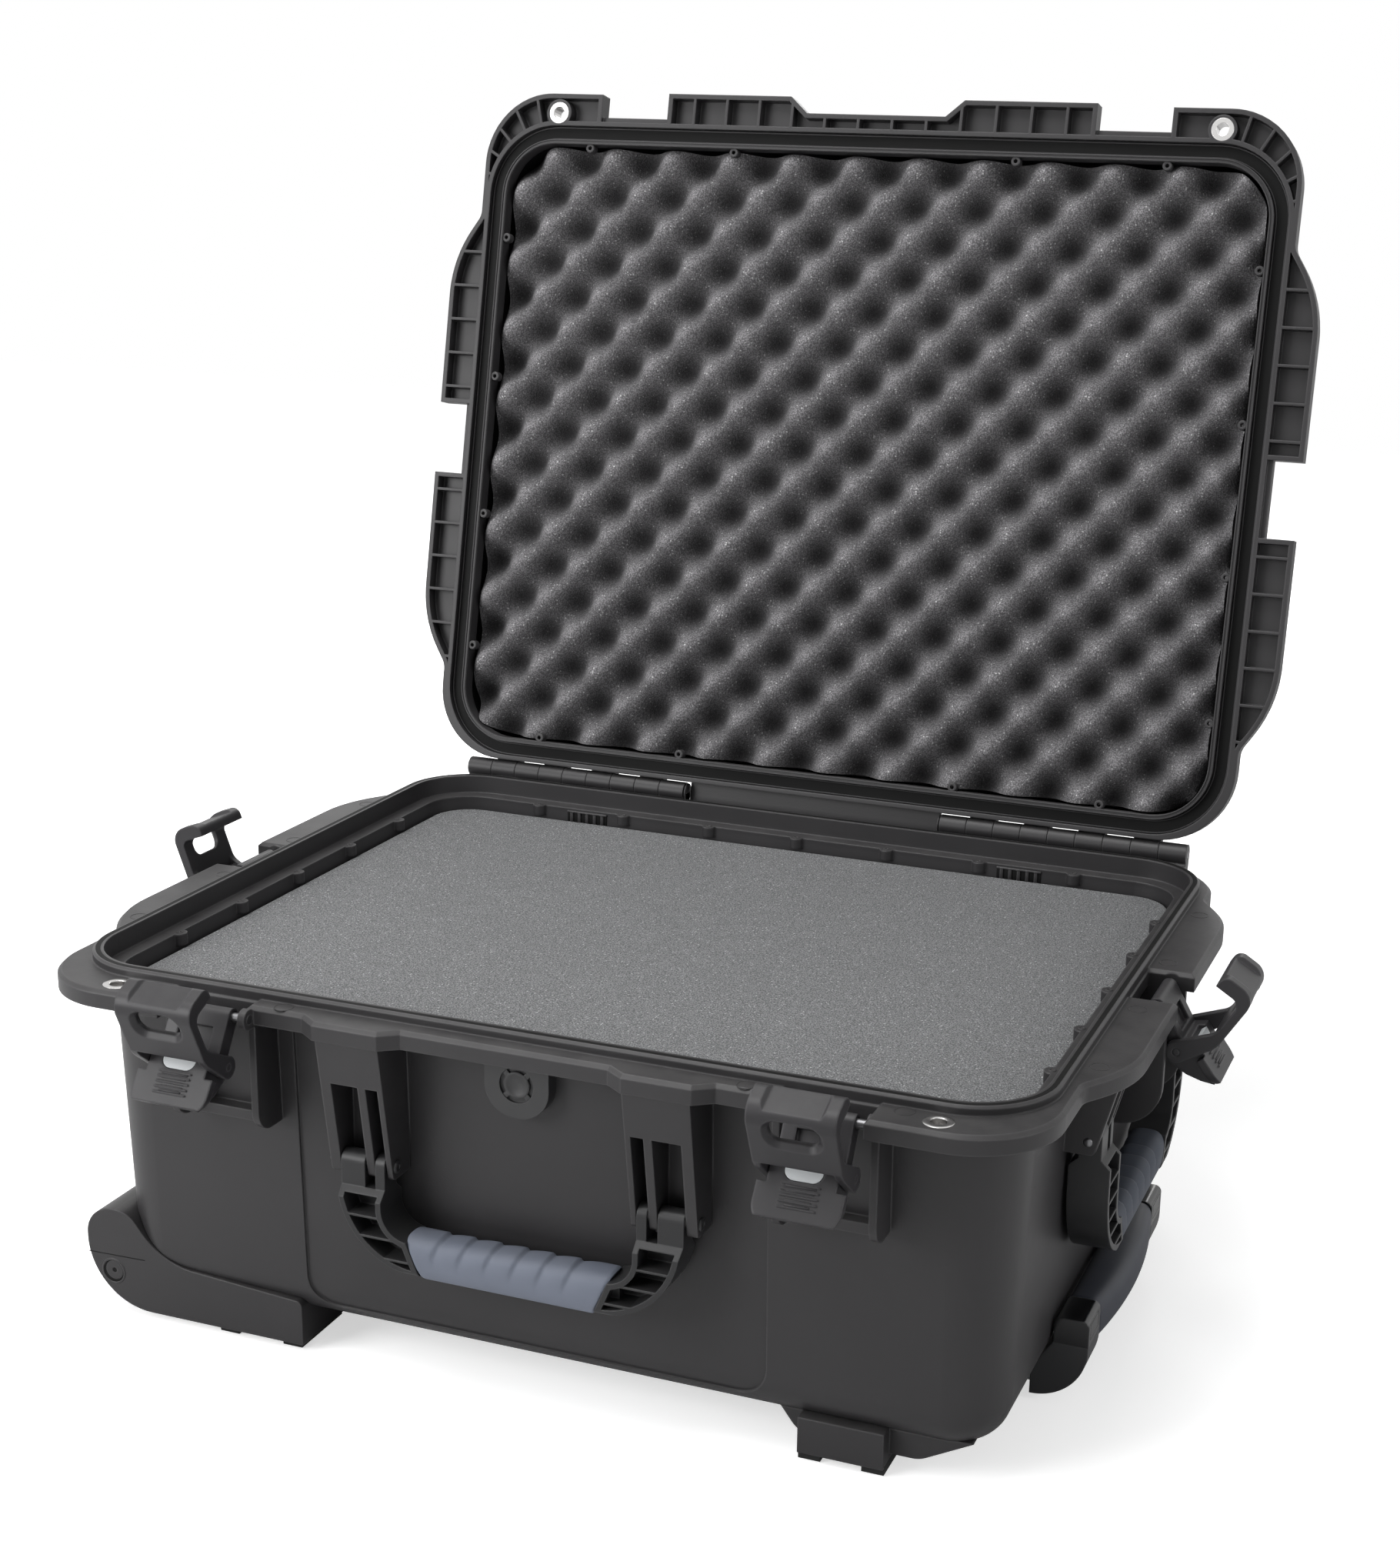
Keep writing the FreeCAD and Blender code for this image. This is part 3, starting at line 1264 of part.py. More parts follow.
def build():
    shaped("base_shell", base_shell())
    shaped("lid_shell", lid_shell(), lid_pose)
    shaped("lid_seal", lid_seal(), lid_pose)
    shaped("lid_foam", lid_foam(), lid_pose)
    build_foam()
    build_eyelets()
    build_hinge_pins()
    build_latches()
    build_handles()
    build_valve()
    build_wheels()
    build_pull_handle()


def build_foam():
    neck = "{tub_inset} + {wall} + {foam_gap}"
    half_x = "{rim_length} / 2 - (" + neck + ")"
    half_y = "{rim_depth} / 2 - (" + neck + ")"
    top = "{flange_top} - {foam_drop} - {foam_sheet_thickness}"
    floor = "{tub_bottom} + {wall}"
    nodes.append(slab("base_foam_sheet", half_x, half_y, top, "{foam_sheet_thickness}", "{foam_corner}"))
    small_x, small_y = half_x + " - {foam_shrink}", half_y + " - {foam_shrink}"
    low = floor + " + {foam_pad_thickness}"
    block = slab("foam_block_blank", small_x, small_y, low, top + " - (" + low + ")", "{foam_corner}")
    small_x, small_y = small_x + " - {cavity_bevel}", small_y + " - {cavity_bevel}"
    pad = slab("foam_pad_blank", small_x, small_y, floor, "{foam_pad_thickness}", "{foam_corner}")
    relief = doc.addObject("Part::Feature", "wheel_recess_relief")
    margin = s.wall + s.foam_gap
    tool = prism(housing_outline(margin), "xz", housing_inner - margin, rim_y)
    relief.Shape = Part.Compound(both_y(tool))
    for label, blank in (("base_foam_block", block), ("base_foam_pad", pad)):
        trimmed = cut(label, blank, relief)
        trimmed.Label = label
        nodes.append(trimmed)


def build_eyelets():
    levels = {
        "base_padlock_eyelets": ("{flange_top} - {flange_thickness}", "{flange_thickness}", Placement()),
        "lid_padlock_eyelets": ("{flange_top} + {lid_gap}", "{lid_flange_height}", lid_pose),
    }
    up = Vector(0, 0, 1)
    for label, (bottom, height, pose) in levels.items():
        items = []
        for side, sign in (("left", "-"), ("right", "")):
            name = label + "_" + side
            place = (sign + "({rim_length} / 2 - {eyelet_inset})", "-{rim_depth} / 2 - {eyelet_out}", bottom)
            outside = bar(name + "_outside", "{eyelet_radius}", height, place, up)
            items.append(cut(name, outside, bar(name + "_bore", "{eyelet_bore}", height, place, up)))
        group(label, items).Placement = pose


def build_hinge_pins():
    length = "{rim_length} / 2 - {hinge_end_inset} - {hinge_inner}"
    starts = {"hinge_pin_left": "{hinge_end_inset} - {rim_length} / 2", "hinge_pin_right": "{hinge_inner}"}
    for label, start in starts.items():
        place = (start, "{rim_depth} / 2 + {hinge_out}", "{flange_top} + {hinge_rise}")
        nodes.append(bar(label, "{hinge_pin_radius}", length, place, Vector(1, 0, 0)))


def build_latches():
    lever, claw = latch_lever(), latch_claw()
    lock = lock_block(0, 0)
    leans = {
        "front_left": s.front_claw_lean,
        "front_right": s.front_claw_lean,
        "left_end": s.left_claw_lean,
        "right_end": s.right_claw_lean,
    }
    pivot_pins = []
    for name, frame in latch_frames.items():
        shaped(f"latch_{name}_lever", lever, frame)
        lean = Placement(claw_pivot, Rotation(Vector(1, 0, 0), -leans[name]))
        shaped(f"latch_{name}_claw", claw, frame.multiply(lean))
        shaped(f"latch_{name}_slide_lock", lock, frame)
        across = Rotation(Vector(0, 0, 1), Vector(1, 0, 0))
        length = "{bay_width} + 2 * {fin_thickness}"
        pin_sizes = {"Radius": "{latch_pin_radius}", "Height": length}
        pivot = bound("Part::Cylinder", f"latch_{name}_pivot", pin_sizes)
        reach = s.bay_width / 2 + s.fin_thickness
        pivot.Placement = frame.multiply(Placement(latch_pivot - Vector(reach, 0, 0), across))
        pivot_pins.append(pivot)
    group("latch_pivot_pins", pivot_pins)


def build_handles():
    width = "{slot_inner} + {tower_rib} + {slot_outer}"
    inner = "{tower_inner} + {tower_wall_inner}"
    for prefix, frame in handle_frames.items():
        shaped(prefix + "_handle_frame", handle_frame(prefix), frame)
        shaped(prefix + "_handle_grip", handle_grip(prefix), frame)
        pins = []
        for side, start in (("a", inner), ("b", "-(" + inner + ") - (" + width + ")")):
            place = (start, "0", "{flange_top} - {" + prefix + "_pivot_drop}")
            pins.append(bar(f"{prefix}_pin_{side}", "{handle_pin_radius}", width, place, Vector(1, 0, 0)))
        group(prefix + "_handle_pins", pins).Placement = frame


def build_valve():
    shaped("valve_cap", valve_cap())
    shaped("valve_core", valve_core())


def build_wheels():
    half = "{wheel_width} / 2"
    bore = "{axle_radius} + {running_clearance}"
    web = half + " - {hub_recess}"
    rim = "{hub_radius} - {hub_rim}"
    hub = [(bore, half), ("{hub_boss_radius}", half), ("{hub_boss_radius}", web)]
    hub += [(rim, web), (rim, half), ("{hub_radius}", half)]
    tread = half + " - {tyre_edge}"
    tyre = [("{hub_radius}", half), ("{wheel_radius} - {tyre_edge}", half), ("{wheel_radius}", tread)]
    hub, tyre = [points + [(r, "-(" + z + ")") for r, z in reversed(points)] for points in (hub, tyre)]
    axles = []
    housing = wheel_housing()
    feet = foot_block()
    for side, sign in (("front", -1), ("rear", 1)):
        middle = Vector(-axle_x, sign * wheel_y, s.axle_height)
        centre = Placement(middle, Rotation(Vector(1, 0, 0), 90))
        turned(f"wheel_{side}_hub", hub, centre)
        turned(f"wheel_{side}_tyre", tyre, centre)
        shaped(f"wheel_housing_{side}", housing if sign > 0 else mirrored_y(housing))
        shaped(f"foot_{side}", feet if sign < 0 else mirrored_y(feet))
        length = "{wheel_width} + 2 * {wheel_side_gap} + 2 * {housing_plate} - {axle_cover}"
        inner = "{rim_depth} / 2 - {wheel_inset} - {wheel_width} / 2 - {wheel_side_gap} - {housing_plate}"
        start = ("{axle_inset} - {rim_length} / 2", ("-(" + inner + ")") if sign < 0 else inner, "{axle_height}")
        axles.append(bar(f"wheel_axle_{side}", "{axle_radius}", length, start, Vector(0, sign, 0)))
    group("wheel_axles", axles)
    pads = []
    for x in foot_pads:
        pads += both_y(pad_box(x, wheel_y, s.foot_base))
    for x in housing_pads:
        pads += both_y(pad_box(x, wheel_y, s.housing_base))
    shaped("foot_pads", Part.Compound(pads))


def build_pull_handle():
    half = "{rim_length} / 2"
    outer_left = "{tube_left_inset} - " + half
    inner_left = outer_left + " + {inner_tube_back}"
    outer_length = "{rim_length} - {tube_left_inset} - {tube_right_inset}"
    inner_end = half + " + {pull_reach} - {arm_length} + {inner_tube_seat}"
    inner_length = inner_end + " - (" + inner_left + ")"
    outer_bore = "{inner_tube_radius} + {tube_slip}"
    inner_bore = "{inner_tube_radius} - {tube_wall}"
    kinds = {
        "pull_outer_tubes": ("{outer_tube_radius}", outer_bore, outer_length, outer_left),
        "pull_inner_tubes": ("{inner_tube_radius}", inner_bore, inner_length, inner_left),
    }
    for label, (radius, bore, length, start) in kinds.items():
        tubes = []
        for side, sign in (("front", "-"), ("rear", "")):
            place = (start, sign + "{tube_spacing} / 2", "{tube_height}")
            outside = bar(f"{label}_{side}_outside", radius, length, place, Vector(1, 0, 0))
            inside = bar(f"{label}_{side}_bore", bore, length, place, Vector(1, 0, 0))
            tubes.append(cut(f"{label}_{side}", outside, inside))
        group(label, tubes)
    shaped("tube_clamps", tube_clamps())
    shaped("pull_crossbar", pull_crossbar())
    shaped("pull_grip", pull_grip())
    shaped("pull_end_caps", pull_end_caps())
    button = button_block(0, 0)
    shaped("pull_button_rear", button)
    shaped("pull_button_front", mirrored_y(button))


def write_parts():
    doc.recompute()
    for item in doc.Objects:
        if "Invalid" in item.State or "Error" in item.State:
            raise RuntimeError(f"{item.Name} did not build")
    for node in nodes:
        if node.Shape.isNull() or not node.Shape.isValid() or not node.Shape.Solids:
            raise RuntimeError(f"{node.Label} has no valid solid")
    os.makedirs("parts", exist_ok=True)
    for node in nodes:
        node.Shape.exportStep(f"parts/{node.Label}.step")
    print(len(nodes), "sub-parts written")


build()
write_parts()
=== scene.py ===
import bmesh
import bpy
import json
import math
from mathutils import Matrix, Vector


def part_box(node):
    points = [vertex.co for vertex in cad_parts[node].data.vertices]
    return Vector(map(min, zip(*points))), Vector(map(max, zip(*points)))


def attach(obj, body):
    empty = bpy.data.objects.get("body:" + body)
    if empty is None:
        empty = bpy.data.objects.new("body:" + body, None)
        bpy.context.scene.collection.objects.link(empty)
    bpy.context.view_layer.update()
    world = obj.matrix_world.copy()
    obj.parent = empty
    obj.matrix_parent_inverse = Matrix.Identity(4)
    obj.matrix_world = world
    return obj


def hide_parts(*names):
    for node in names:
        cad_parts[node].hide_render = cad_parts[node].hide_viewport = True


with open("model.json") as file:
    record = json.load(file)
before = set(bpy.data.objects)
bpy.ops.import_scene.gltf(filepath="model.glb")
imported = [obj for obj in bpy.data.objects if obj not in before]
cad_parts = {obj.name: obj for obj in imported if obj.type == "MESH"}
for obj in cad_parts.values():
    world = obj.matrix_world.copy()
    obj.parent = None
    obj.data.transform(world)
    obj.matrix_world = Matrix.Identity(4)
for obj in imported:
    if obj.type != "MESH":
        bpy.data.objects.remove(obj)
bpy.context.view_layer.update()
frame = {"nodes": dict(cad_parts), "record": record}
nodes = frame["nodes"]
scene = bpy.context.scene
scene.view_settings.view_transform = "Standard"
print("frame loaded with", len(nodes), "solids")

# Lines and levels of the case that several pieces share, in metres
mm = 0.001
hingeLine = Vector((0, 0.2245, 0.216))
openAngle = -102  # degrees, from shut to open
flangeTop = 0.210
ledgeTop = 0.203
lidLip = 0.2104  # lower side of the shut lid's lips
sideFace = 0.197  # inner back wall and outer faces of the wheel housings
lidTurn = Matrix.Rotation(math.radians(openAngle), 4, "X")
lidPose = Matrix.Translation(hingeLine) @ lidTurn @ Matrix.Translation(-hingeLine)

# Camera solved from the rim, the flange and the lid in the photograph
cameraView = {
    "place": (0.50469, -1.19971, 0.65297),
    "yaw": 19.79,
    "pitch": 16.28,
    "roll": 1.455,
    "sensor": 36,
    "lens": 54.45,
    "shiftX": -0.0639,
    "shiftY": 0.0189,
}


def setCamera():
    data = bpy.data.cameras.new("photoCamera")
    data.sensor_width = cameraView["sensor"]
    data.lens = cameraView["lens"]
    data.shift_x = cameraView["shiftX"]
    data.shift_y = cameraView["shiftY"]
    camera = bpy.data.objects.new("photoCamera", data)
    turn = Matrix.Rotation(math.radians(cameraView["yaw"]), 4, "Z")
    turn = turn @ Matrix.Rotation(math.radians(90 - cameraView["pitch"]), 4, "X")
    turn = turn @ Matrix.Rotation(math.radians(cameraView["roll"]), 4, "Z")
    camera.matrix_world = Matrix.Translation(cameraView["place"]) @ turn
    scene.collection.objects.link(camera)
    scene.camera = camera


setCamera()
print("camera set")


# Node helpers

def link(tree, source, target):
    tree.links.new(source, target)


def mathNode(tree, operation, first, second, clamp=False):
    node = tree.nodes.new("ShaderNodeMath")
    node.operation = operation
    node.use_clamp = clamp
    for socket, value in zip(node.inputs, (first, second)):
        if isinstance(value, (int, float)):
            socket.default_value = value
        else:
            link(tree, value, socket)
    return node.outputs[0]


def rampNode(tree, value, low, high, results=(0.0, 1.0), kind="SMOOTHSTEP"):
    node = tree.nodes.new("ShaderNodeMapRange")
    node.interpolation_type = kind
    node.inputs["From Min"].default_value = low
    node.inputs["From Max"].default_value = high
    node.inputs["To Min"].default_value, node.inputs["To Max"].default_value = results
    link(tree, value, node.inputs["Value"])
    return node.outputs["Result"]


def noiseNode(tree, coords, scale, detail, rough):
    node = tree.nodes.new("ShaderNodeTexNoise")
    node.inputs["Detail"].default_value = detail
    node.inputs["Roughness"].default_value = rough
    link(tree, coords, node.inputs["Vector"])
    if isinstance(scale, (int, float)):
        node.inputs["Scale"].default_value = scale
    else:
        link(tree, scale, node.inputs["Scale"])
    return node.outputs["Fac"]


def cellNode(tree, coords, scale):
    node = tree.nodes.new("ShaderNodeTexVoronoi")
    node.inputs["Randomness"].default_value = 1.0
    link(tree, coords, node.inputs["Vector"])
    link(tree, scale, node.inputs["Scale"])
    return node


def objectCoords(tree):
    return tree.nodes.new("ShaderNodeTexCoord").outputs["Object"]


studio = {
    "worldLight": 0.24,
    "floorHalf": 4.0,
    "floorDrop": 0.0004,
    "floorColour": (0.86, 0.86, 0.86, 1),
    "floorRough": 0.9,
    "floorSpecular": 0.1,
    "floorLift": (0.58, 0.78),  # camera rays only, near and far from the case
    "liftReach": (0.5, 1.6),
    "lamps": {  # name: place, target, size, watts
        "topSoftbox": ((-0.5, -0.5, 2.3), (0, 0, 0.2), 1.6, 40),
        "frontSoftbox": ((-1.1, -1.3, 0.8), (-0.12, -0.1, 0.22), 0.9, 21),
        "sideSoftbox": ((2.3, -0.3, 1.0), (0.2, 0, 0.2), 1.0, 14),
        "backSoftbox": ((-0.6, 2.6, 1.5), (0, 0.2, 0.3), 1.6, 22),
    },
}


def buildWorld():
    world = bpy.data.worlds.new("studioWorld")
    scene.world = world
    world.use_nodes = True
    tree = world.node_tree
    background = tree.nodes["Background"]
    background.inputs["Color"].default_value = (1, 1, 1, 1)
    path = tree.nodes.new("ShaderNodeLightPath").outputs
    seen = mathNode(tree, "ADD", path["Is Camera Ray"], path["Is Glossy Ray"])
    seen = mathNode(tree, "ADD", seen, path["Is Transmission Ray"], True)
    level = rampNode(tree, seen, 0.0, 1.0, (studio["worldLight"], 1.0), "LINEAR")
    link(tree, level, background.inputs["Strength"])


def buildFloor():
    bm = bmesh.new()
    bmesh.ops.create_grid(bm, x_segments=2, y_segments=2, size=studio["floorHalf"])
    bmesh.ops.translate(bm, verts=bm.verts, vec=(0, 0, -studio["floorDrop"]))
    mesh = bpy.data.meshes.new("studioFloor")
    bm.to_mesh(mesh)
    bm.free()
    floor = bpy.data.objects.new("studioFloor", mesh)
    scene.collection.objects.link(floor)
    paper = bpy.data.materials.new("palePaper")
    paper.use_nodes = True
    tree = paper.node_tree
    shader = tree.nodes["Principled BSDF"].inputs
    shader["Base Color"].default_value = studio["floorColour"]
    shader["Roughness"].default_value = studio["floorRough"]
    shader["Specular IOR Level"].default_value = studio["floorSpecular"]
    shader["Emission Color"].default_value = (1, 1, 1, 1)
    path = tree.nodes.new("ShaderNodeLightPath").outputs
    away = tree.nodes.new("ShaderNodeVectorMath")
    away.operation = "LENGTH"
    link(tree, objectCoords(tree), away.inputs[0])
    level = rampNode(tree, away.outputs["Value"], *studio["liftReach"], studio["floorLift"], "LINEAR")
    lift = mathNode(tree, "MULTIPLY", path["Is Camera Ray"], level)
    link(tree, lift, shader["Emission Strength"])
    mesh.materials.append(paper)


def hangLamps():
    for name, (place, target, size, watts) in studio["lamps"].items():
        data = bpy.data.lights.new(name, "AREA")
        data.size = size
        data.energy = watts
        lamp = bpy.data.objects.new(name, data)
        aim = (Vector(target) - Vector(place)).to_track_quat("-Z", "Y").to_matrix().to_4x4()
        lamp.matrix_world = Matrix.Translation(place) @ aim
        scene.collection.objects.link(lamp)


buildWorld()
buildFloor()
hangLamps()
print("studio lit")


# Shared effects

def newGroup(name, inputs, outputs):
    group = bpy.data.node_groups.new(name, "ShaderNodeTree")
    for label, value in inputs.items():
        socket = group.interface.new_socket(label, in_out="INPUT", socket_type="NodeSocketFloat")
        socket.default_value = value
    for label, kind in outputs.items():
        group.interface.new_socket(label, in_out="OUTPUT", socket_type="NodeSocket" + kind)
    start = group.nodes.new("NodeGroupInput")
    end = group.nodes.new("NodeGroupOutput")
    return group, start.outputs, end.inputs


# Noise settings are detail and roughness
grainLook = {
    "fine": (2.0, 0.6),
    "mottle": (4.0, 0.55),
    "streakTurn": (0.4, 0.9, 0.3),
    "streakStretch": (1.0, 30.0, 30.0),
    "streakScale": 9.0,
    "streak": (3.0, 0.7),
    "scuffRamp": (0.66, 0.78),
}


def mouldGrainGroup():
    group, given, result = newGroup(
        "mouldGrain",
        {"Scale": 900.0, "Mottle Scale": 14.0},
        {"Height": "Float", "Mottle": "Float", "Scuff": "Float"},
    )
    coords = objectCoords(group)
    streak = group.nodes.new("ShaderNodeMapping")
    streak.inputs["Rotation"].default_value = grainLook["streakTurn"]
    streak.inputs["Scale"].default_value = grainLook["streakStretch"]
    link(group, coords, streak.inputs["Vector"])
    scratches = noiseNode(group, streak.outputs[0], grainLook["streakScale"], *grainLook["streak"])
    link(group, noiseNode(group, coords, given["Scale"], *grainLook["fine"]), result["Height"])
    link(group, noiseNode(group, coords, given["Mottle Scale"], *grainLook["mottle"]), result["Mottle"])
    link(group, rampNode(group, scratches, *grainLook["scuffRamp"]), result["Scuff"])
    return group


edgeLook = {"samples": 4, "ramp": (0.006, 0.11)}


def softEdgeGroup():
    group, given, result = newGroup("softEdge", {"Radius": 0.001}, {"Normal": "Vector", "Edge": "Float"})
    bevel = group.nodes.new("ShaderNodeBevel")
    bevel.samples = edgeLook["samples"]
    link(group, given["Radius"], bevel.inputs["Radius"])
    geometry = group.nodes.new("ShaderNodeNewGeometry")
    dot = group.nodes.new("ShaderNodeVectorMath")
    dot.operation = "DOT_PRODUCT"
    link(group, bevel.outputs["Normal"], dot.inputs[0])
    link(group, geometry.outputs["Normal"], dot.inputs[1])
    edge = mathNode(group, "SUBTRACT", 1.0, dot.outputs["Value"], True)
    link(group, bevel.outputs["Normal"], result["Normal"])
    link(group, rampNode(group, edge, *edgeLook["ramp"]), result["Edge"])
    return group


dustLook = {"facing": (0.35, 1.0), "patchScale": 35.0, "patch": (5.0, 0.65), "patchRamp": (0.15, 0.75)}


def settledDustGroup():
    group, given, result = newGroup("settledDust", {"Amount": 0.3}, {"Mask": "Float"})
    geometry = group.nodes.new("ShaderNodeNewGeometry")
    split = group.nodes.new("ShaderNodeSeparateXYZ")
    link(group, geometry.outputs["Normal"], split.inputs[0])
    facing = rampNode(group, split.outputs["Z"], *dustLook["facing"])
    noise = noiseNode(group, objectCoords(group), dustLook["patchScale"], *dustLook["patch"])
    mask = mathNode(group, "MULTIPLY", facing, rampNode(group, noise, *dustLook["patchRamp"]))
    link(group, mathNode(group, "MULTIPLY", mask, given["Amount"]), result["Mask"])
    return group


cellLook = {
    "glintScale": 0.55,
    "glintChoice": (0.72, 0.95),
    "glintReach": (0.12, 0.42),
    "pitShadeRamp": (0.15, 0.75),
    "mottleScale": 60.0,
    "mottle": (5.0, 0.6),
}


def foamCellsGroup():
    group, given, result = newGroup(
        "foamCells",
        {"Scale": 900.0},
        {"Height": "Float", "Pit Shade": "Float", "Glint Speckle": "Float", "Mottle": "Float"},
    )
    coords = objectCoords(group)
    cells = cellNode(group, coords, given["Scale"]).outputs
    # painted highlight: a sparse second set of cells gives small bright glints
    glintScale = mathNode(group, "MULTIPLY", given["Scale"], cellLook["glintScale"])
    glints = cellNode(group, coords, glintScale).outputs
    chosen = group.nodes.new("ShaderNodeSeparateColor")
    link(group, glints["Color"], chosen.inputs[0])
    some = rampNode(group, chosen.outputs[0], *cellLook["glintChoice"])
    far = rampNode(group, glints["Distance"], *cellLook["glintReach"])
    near = mathNode(group, "SUBTRACT", 1.0, far)
    mottle = noiseNode(group, coords, cellLook["mottleScale"], *cellLook["mottle"])
    link(group, cells["Distance"], result["Height"])
    # painted shade: the cell pits are darkened
    link(group, rampNode(group, cells["Distance"], *cellLook["pitShadeRamp"]), result["Pit Shade"])
    link(group, mathNode(group, "MULTIPLY", some, near), result["Glint Speckle"])
    link(group, mottle, result["Mottle"])
    return group


mouldGrain = mouldGrainGroup()
softEdge = softEdgeGroup()
settledDust = settledDustGroup()
foamCells = foamCellsGroup()
print("shared effects built")


def groupNode(tree, group, **values):
    node = tree.nodes.new("ShaderNodeGroup")
    node.node_tree = group
    for label, value in values.items():
        node.inputs[label.replace("_", " ")].default_value = value
    return node.outputs


def mixColour(tree, factor, first, second):
    node = tree.nodes.new("ShaderNodeMix")
    node.data_type = "RGBA"
    sockets = [s for s in node.inputs if s.type == "RGBA"]
    for socket, value in zip(sockets, (first, second)):
        if isinstance(value, tuple):
            socket.default_value = value
        else:
            link(tree, value, socket)
    link(tree, factor, node.inputs[0])
    return [s for s in node.outputs if s.type == "RGBA"][0]


def shade(colour, factor):
    return tuple(c * factor for c in colour) + (1,)


# How every moulded, rubber and metal finish wears, with a painted highlight mixed into its edge wear
finishLook = {
    "mottleScale": 16.0,
    "wornHighlightGain": 2.4,
    "wornHighlightLift": 0.03,
    "edgeEven": 0.3,
    "dustColour": (0.22, 0.215, 0.21, 1),
    "patchRough": 0.16,
    "scuffRough": 0.08,
    "roughDrop": 0.08,
    "bumpHeight": 0.0006,
}

# Moulded plastics, rubbers and metals. Colours are linear.
finishes = {
    "shell": {
        "colour": (0.0245, 0.0235, 0.0248), "vary": 0.16, "rough": 0.44, "grain": 1100, "depth": 0.10,
        "edge": 0.0013, "edgeWearAndHighlight": 0.7, "dust": 0.14, "specular": 0.32,
    },
    "latch": {
        "colour": (0.022, 0.021, 0.023), "vary": 0.12, "rough": 0.40, "grain": 1500, "depth": 0.06,
        "edge": 0.0016, "edgeWearAndHighlight": 0.6, "dust": 0.10, "specular": 0.28,
    },
    "slide_lock": {
        "colour": (0.46, 0.48, 0.49), "vary": 0.06, "rough": 0.4, "grain": 1500, "depth": 0.04,
        "edge": 0.0008, "edgeWearAndHighlight": 0.1, "dust": 0.05, "specular": 0.5,
    },
    "handle_frame": {
        "colour": (0.016, 0.016, 0.017), "vary": 0.14, "rough": 0.38, "grain": 1300, "depth": 0.06,
        "edge": 0.0010, "edgeWearAndHighlight": 0.7, "dust": 0.06, "specular": 0.32,
    },
    "front_grip": {
        "colour": (0.125, 0.140, 0.178), "vary": 0.10, "rough": 0.62, "grain": 1800, "depth": 0.05,
        "edge": 0.0008, "edgeWearAndHighlight": 0.12, "dust": 0.1, "specular": 0.35,
    },
    "side_grip": {
        "colour": (0.042, 0.049, 0.066), "vary": 0.12, "rough": 0.6, "grain": 1800, "depth": 0.05,
        "edge": 0.0008, "edgeWearAndHighlight": 0.15, "dust": 0.1, "specular": 0.35,
    },
    "pull_grip": {
        "colour": (0.022, 0.025, 0.036), "vary": 0.12, "rough": 0.5, "grain": 1800, "depth": 0.05,
        "edge": 0.0008, "edgeWearAndHighlight": 0.15, "dust": 0.06, "specular": 0.4,
    },
    "seal": {
        "colour": (0.005, 0.005, 0.005), "vary": 0.1, "rough": 0.6, "grain": 2200, "depth": 0.03,
        "edge": 0.0005, "edgeWearAndHighlight": 0.1, "dust": 0.02, "specular": 0.12,
    },
    "valve": {
        "colour": (0.022, 0.022, 0.023), "vary": 0.1, "rough": 0.5, "grain": 1600, "depth": 0.06,
        "edge": 0.0008, "edgeWearAndHighlight": 0.35, "dust": 0.08, "specular": 0.45,
    },
    "hub": {
        "colour": (0.018, 0.018, 0.019), "vary": 0.14, "rough": 0.42, "grain": 1500, "depth": 0.06,
        "edge": 0.0008, "edgeWearAndHighlight": 0.4, "dust": 0.12, "specular": 0.5,
    },
    "tyre": {
        "colour": (0.012, 0.012, 0.012), "vary": 0.2, "rough": 0.7, "grain": 1200, "depth": 0.10,
        "edge": 0.0010, "edgeWearAndHighlight": 0.3, "dust": 0.3, "specular": 0.3,
    },
    "pad": {
        "colour": (0.012, 0.012, 0.012), "vary": 0.2, "rough": 0.7, "grain": 1200, "depth": 0.10,
        "edge": 0.0010, "edgeWearAndHighlight": 0.3, "dust": 0.2, "specular": 0.3,
    },
    "pull_arm": {
        "colour": (0.020, 0.020, 0.022), "vary": 0.12, "rough": 0.36, "grain": 1500, "depth": 0.04,
        "edge": 0.0016, "edgeWearAndHighlight": 0.3, "dust": 0.05, "specular": 0.5,
    },
    "pull_cap": {
        "colour": (0.006, 0.006, 0.007), "vary": 0.1, "rough": 0.14, "grain": 1500, "depth": 0.01,
        "edge": 0.0012, "edgeWearAndHighlight": 0.1, "dust": 0.03, "specular": 0.5,
    },
    "steel": {
        "colour": (0.62, 0.61, 0.60), "vary": 0.06, "rough": 0.22, "grain": 1800, "depth": 0.02,
        "edge": 0.0004, "edgeWearAndHighlight": 0.2, "dust": 0.02, "specular": 0.5, "metal": 1.0,
    },
    "tube": {
        "colour": (0.50, 0.51, 0.52), "vary": 0.06, "rough": 0.3, "grain": 1800, "depth": 0.02,
        "edge": 0.0004, "edgeWearAndHighlight": 0.2, "dust": 0.03, "specular": 0.5, "metal": 1.0,
    },
}
hingePinFinish = {
    "colour": (0.16, 0.16, 0.165), "vary": 0.1, "rough": 0.34, "grain": 1800, "depth": 0.02,
    "edge": 0.0004, "edgeWearAndHighlight": 0.2, "dust": 0.02, "specular": 0.5, "metal": 1.0,
}


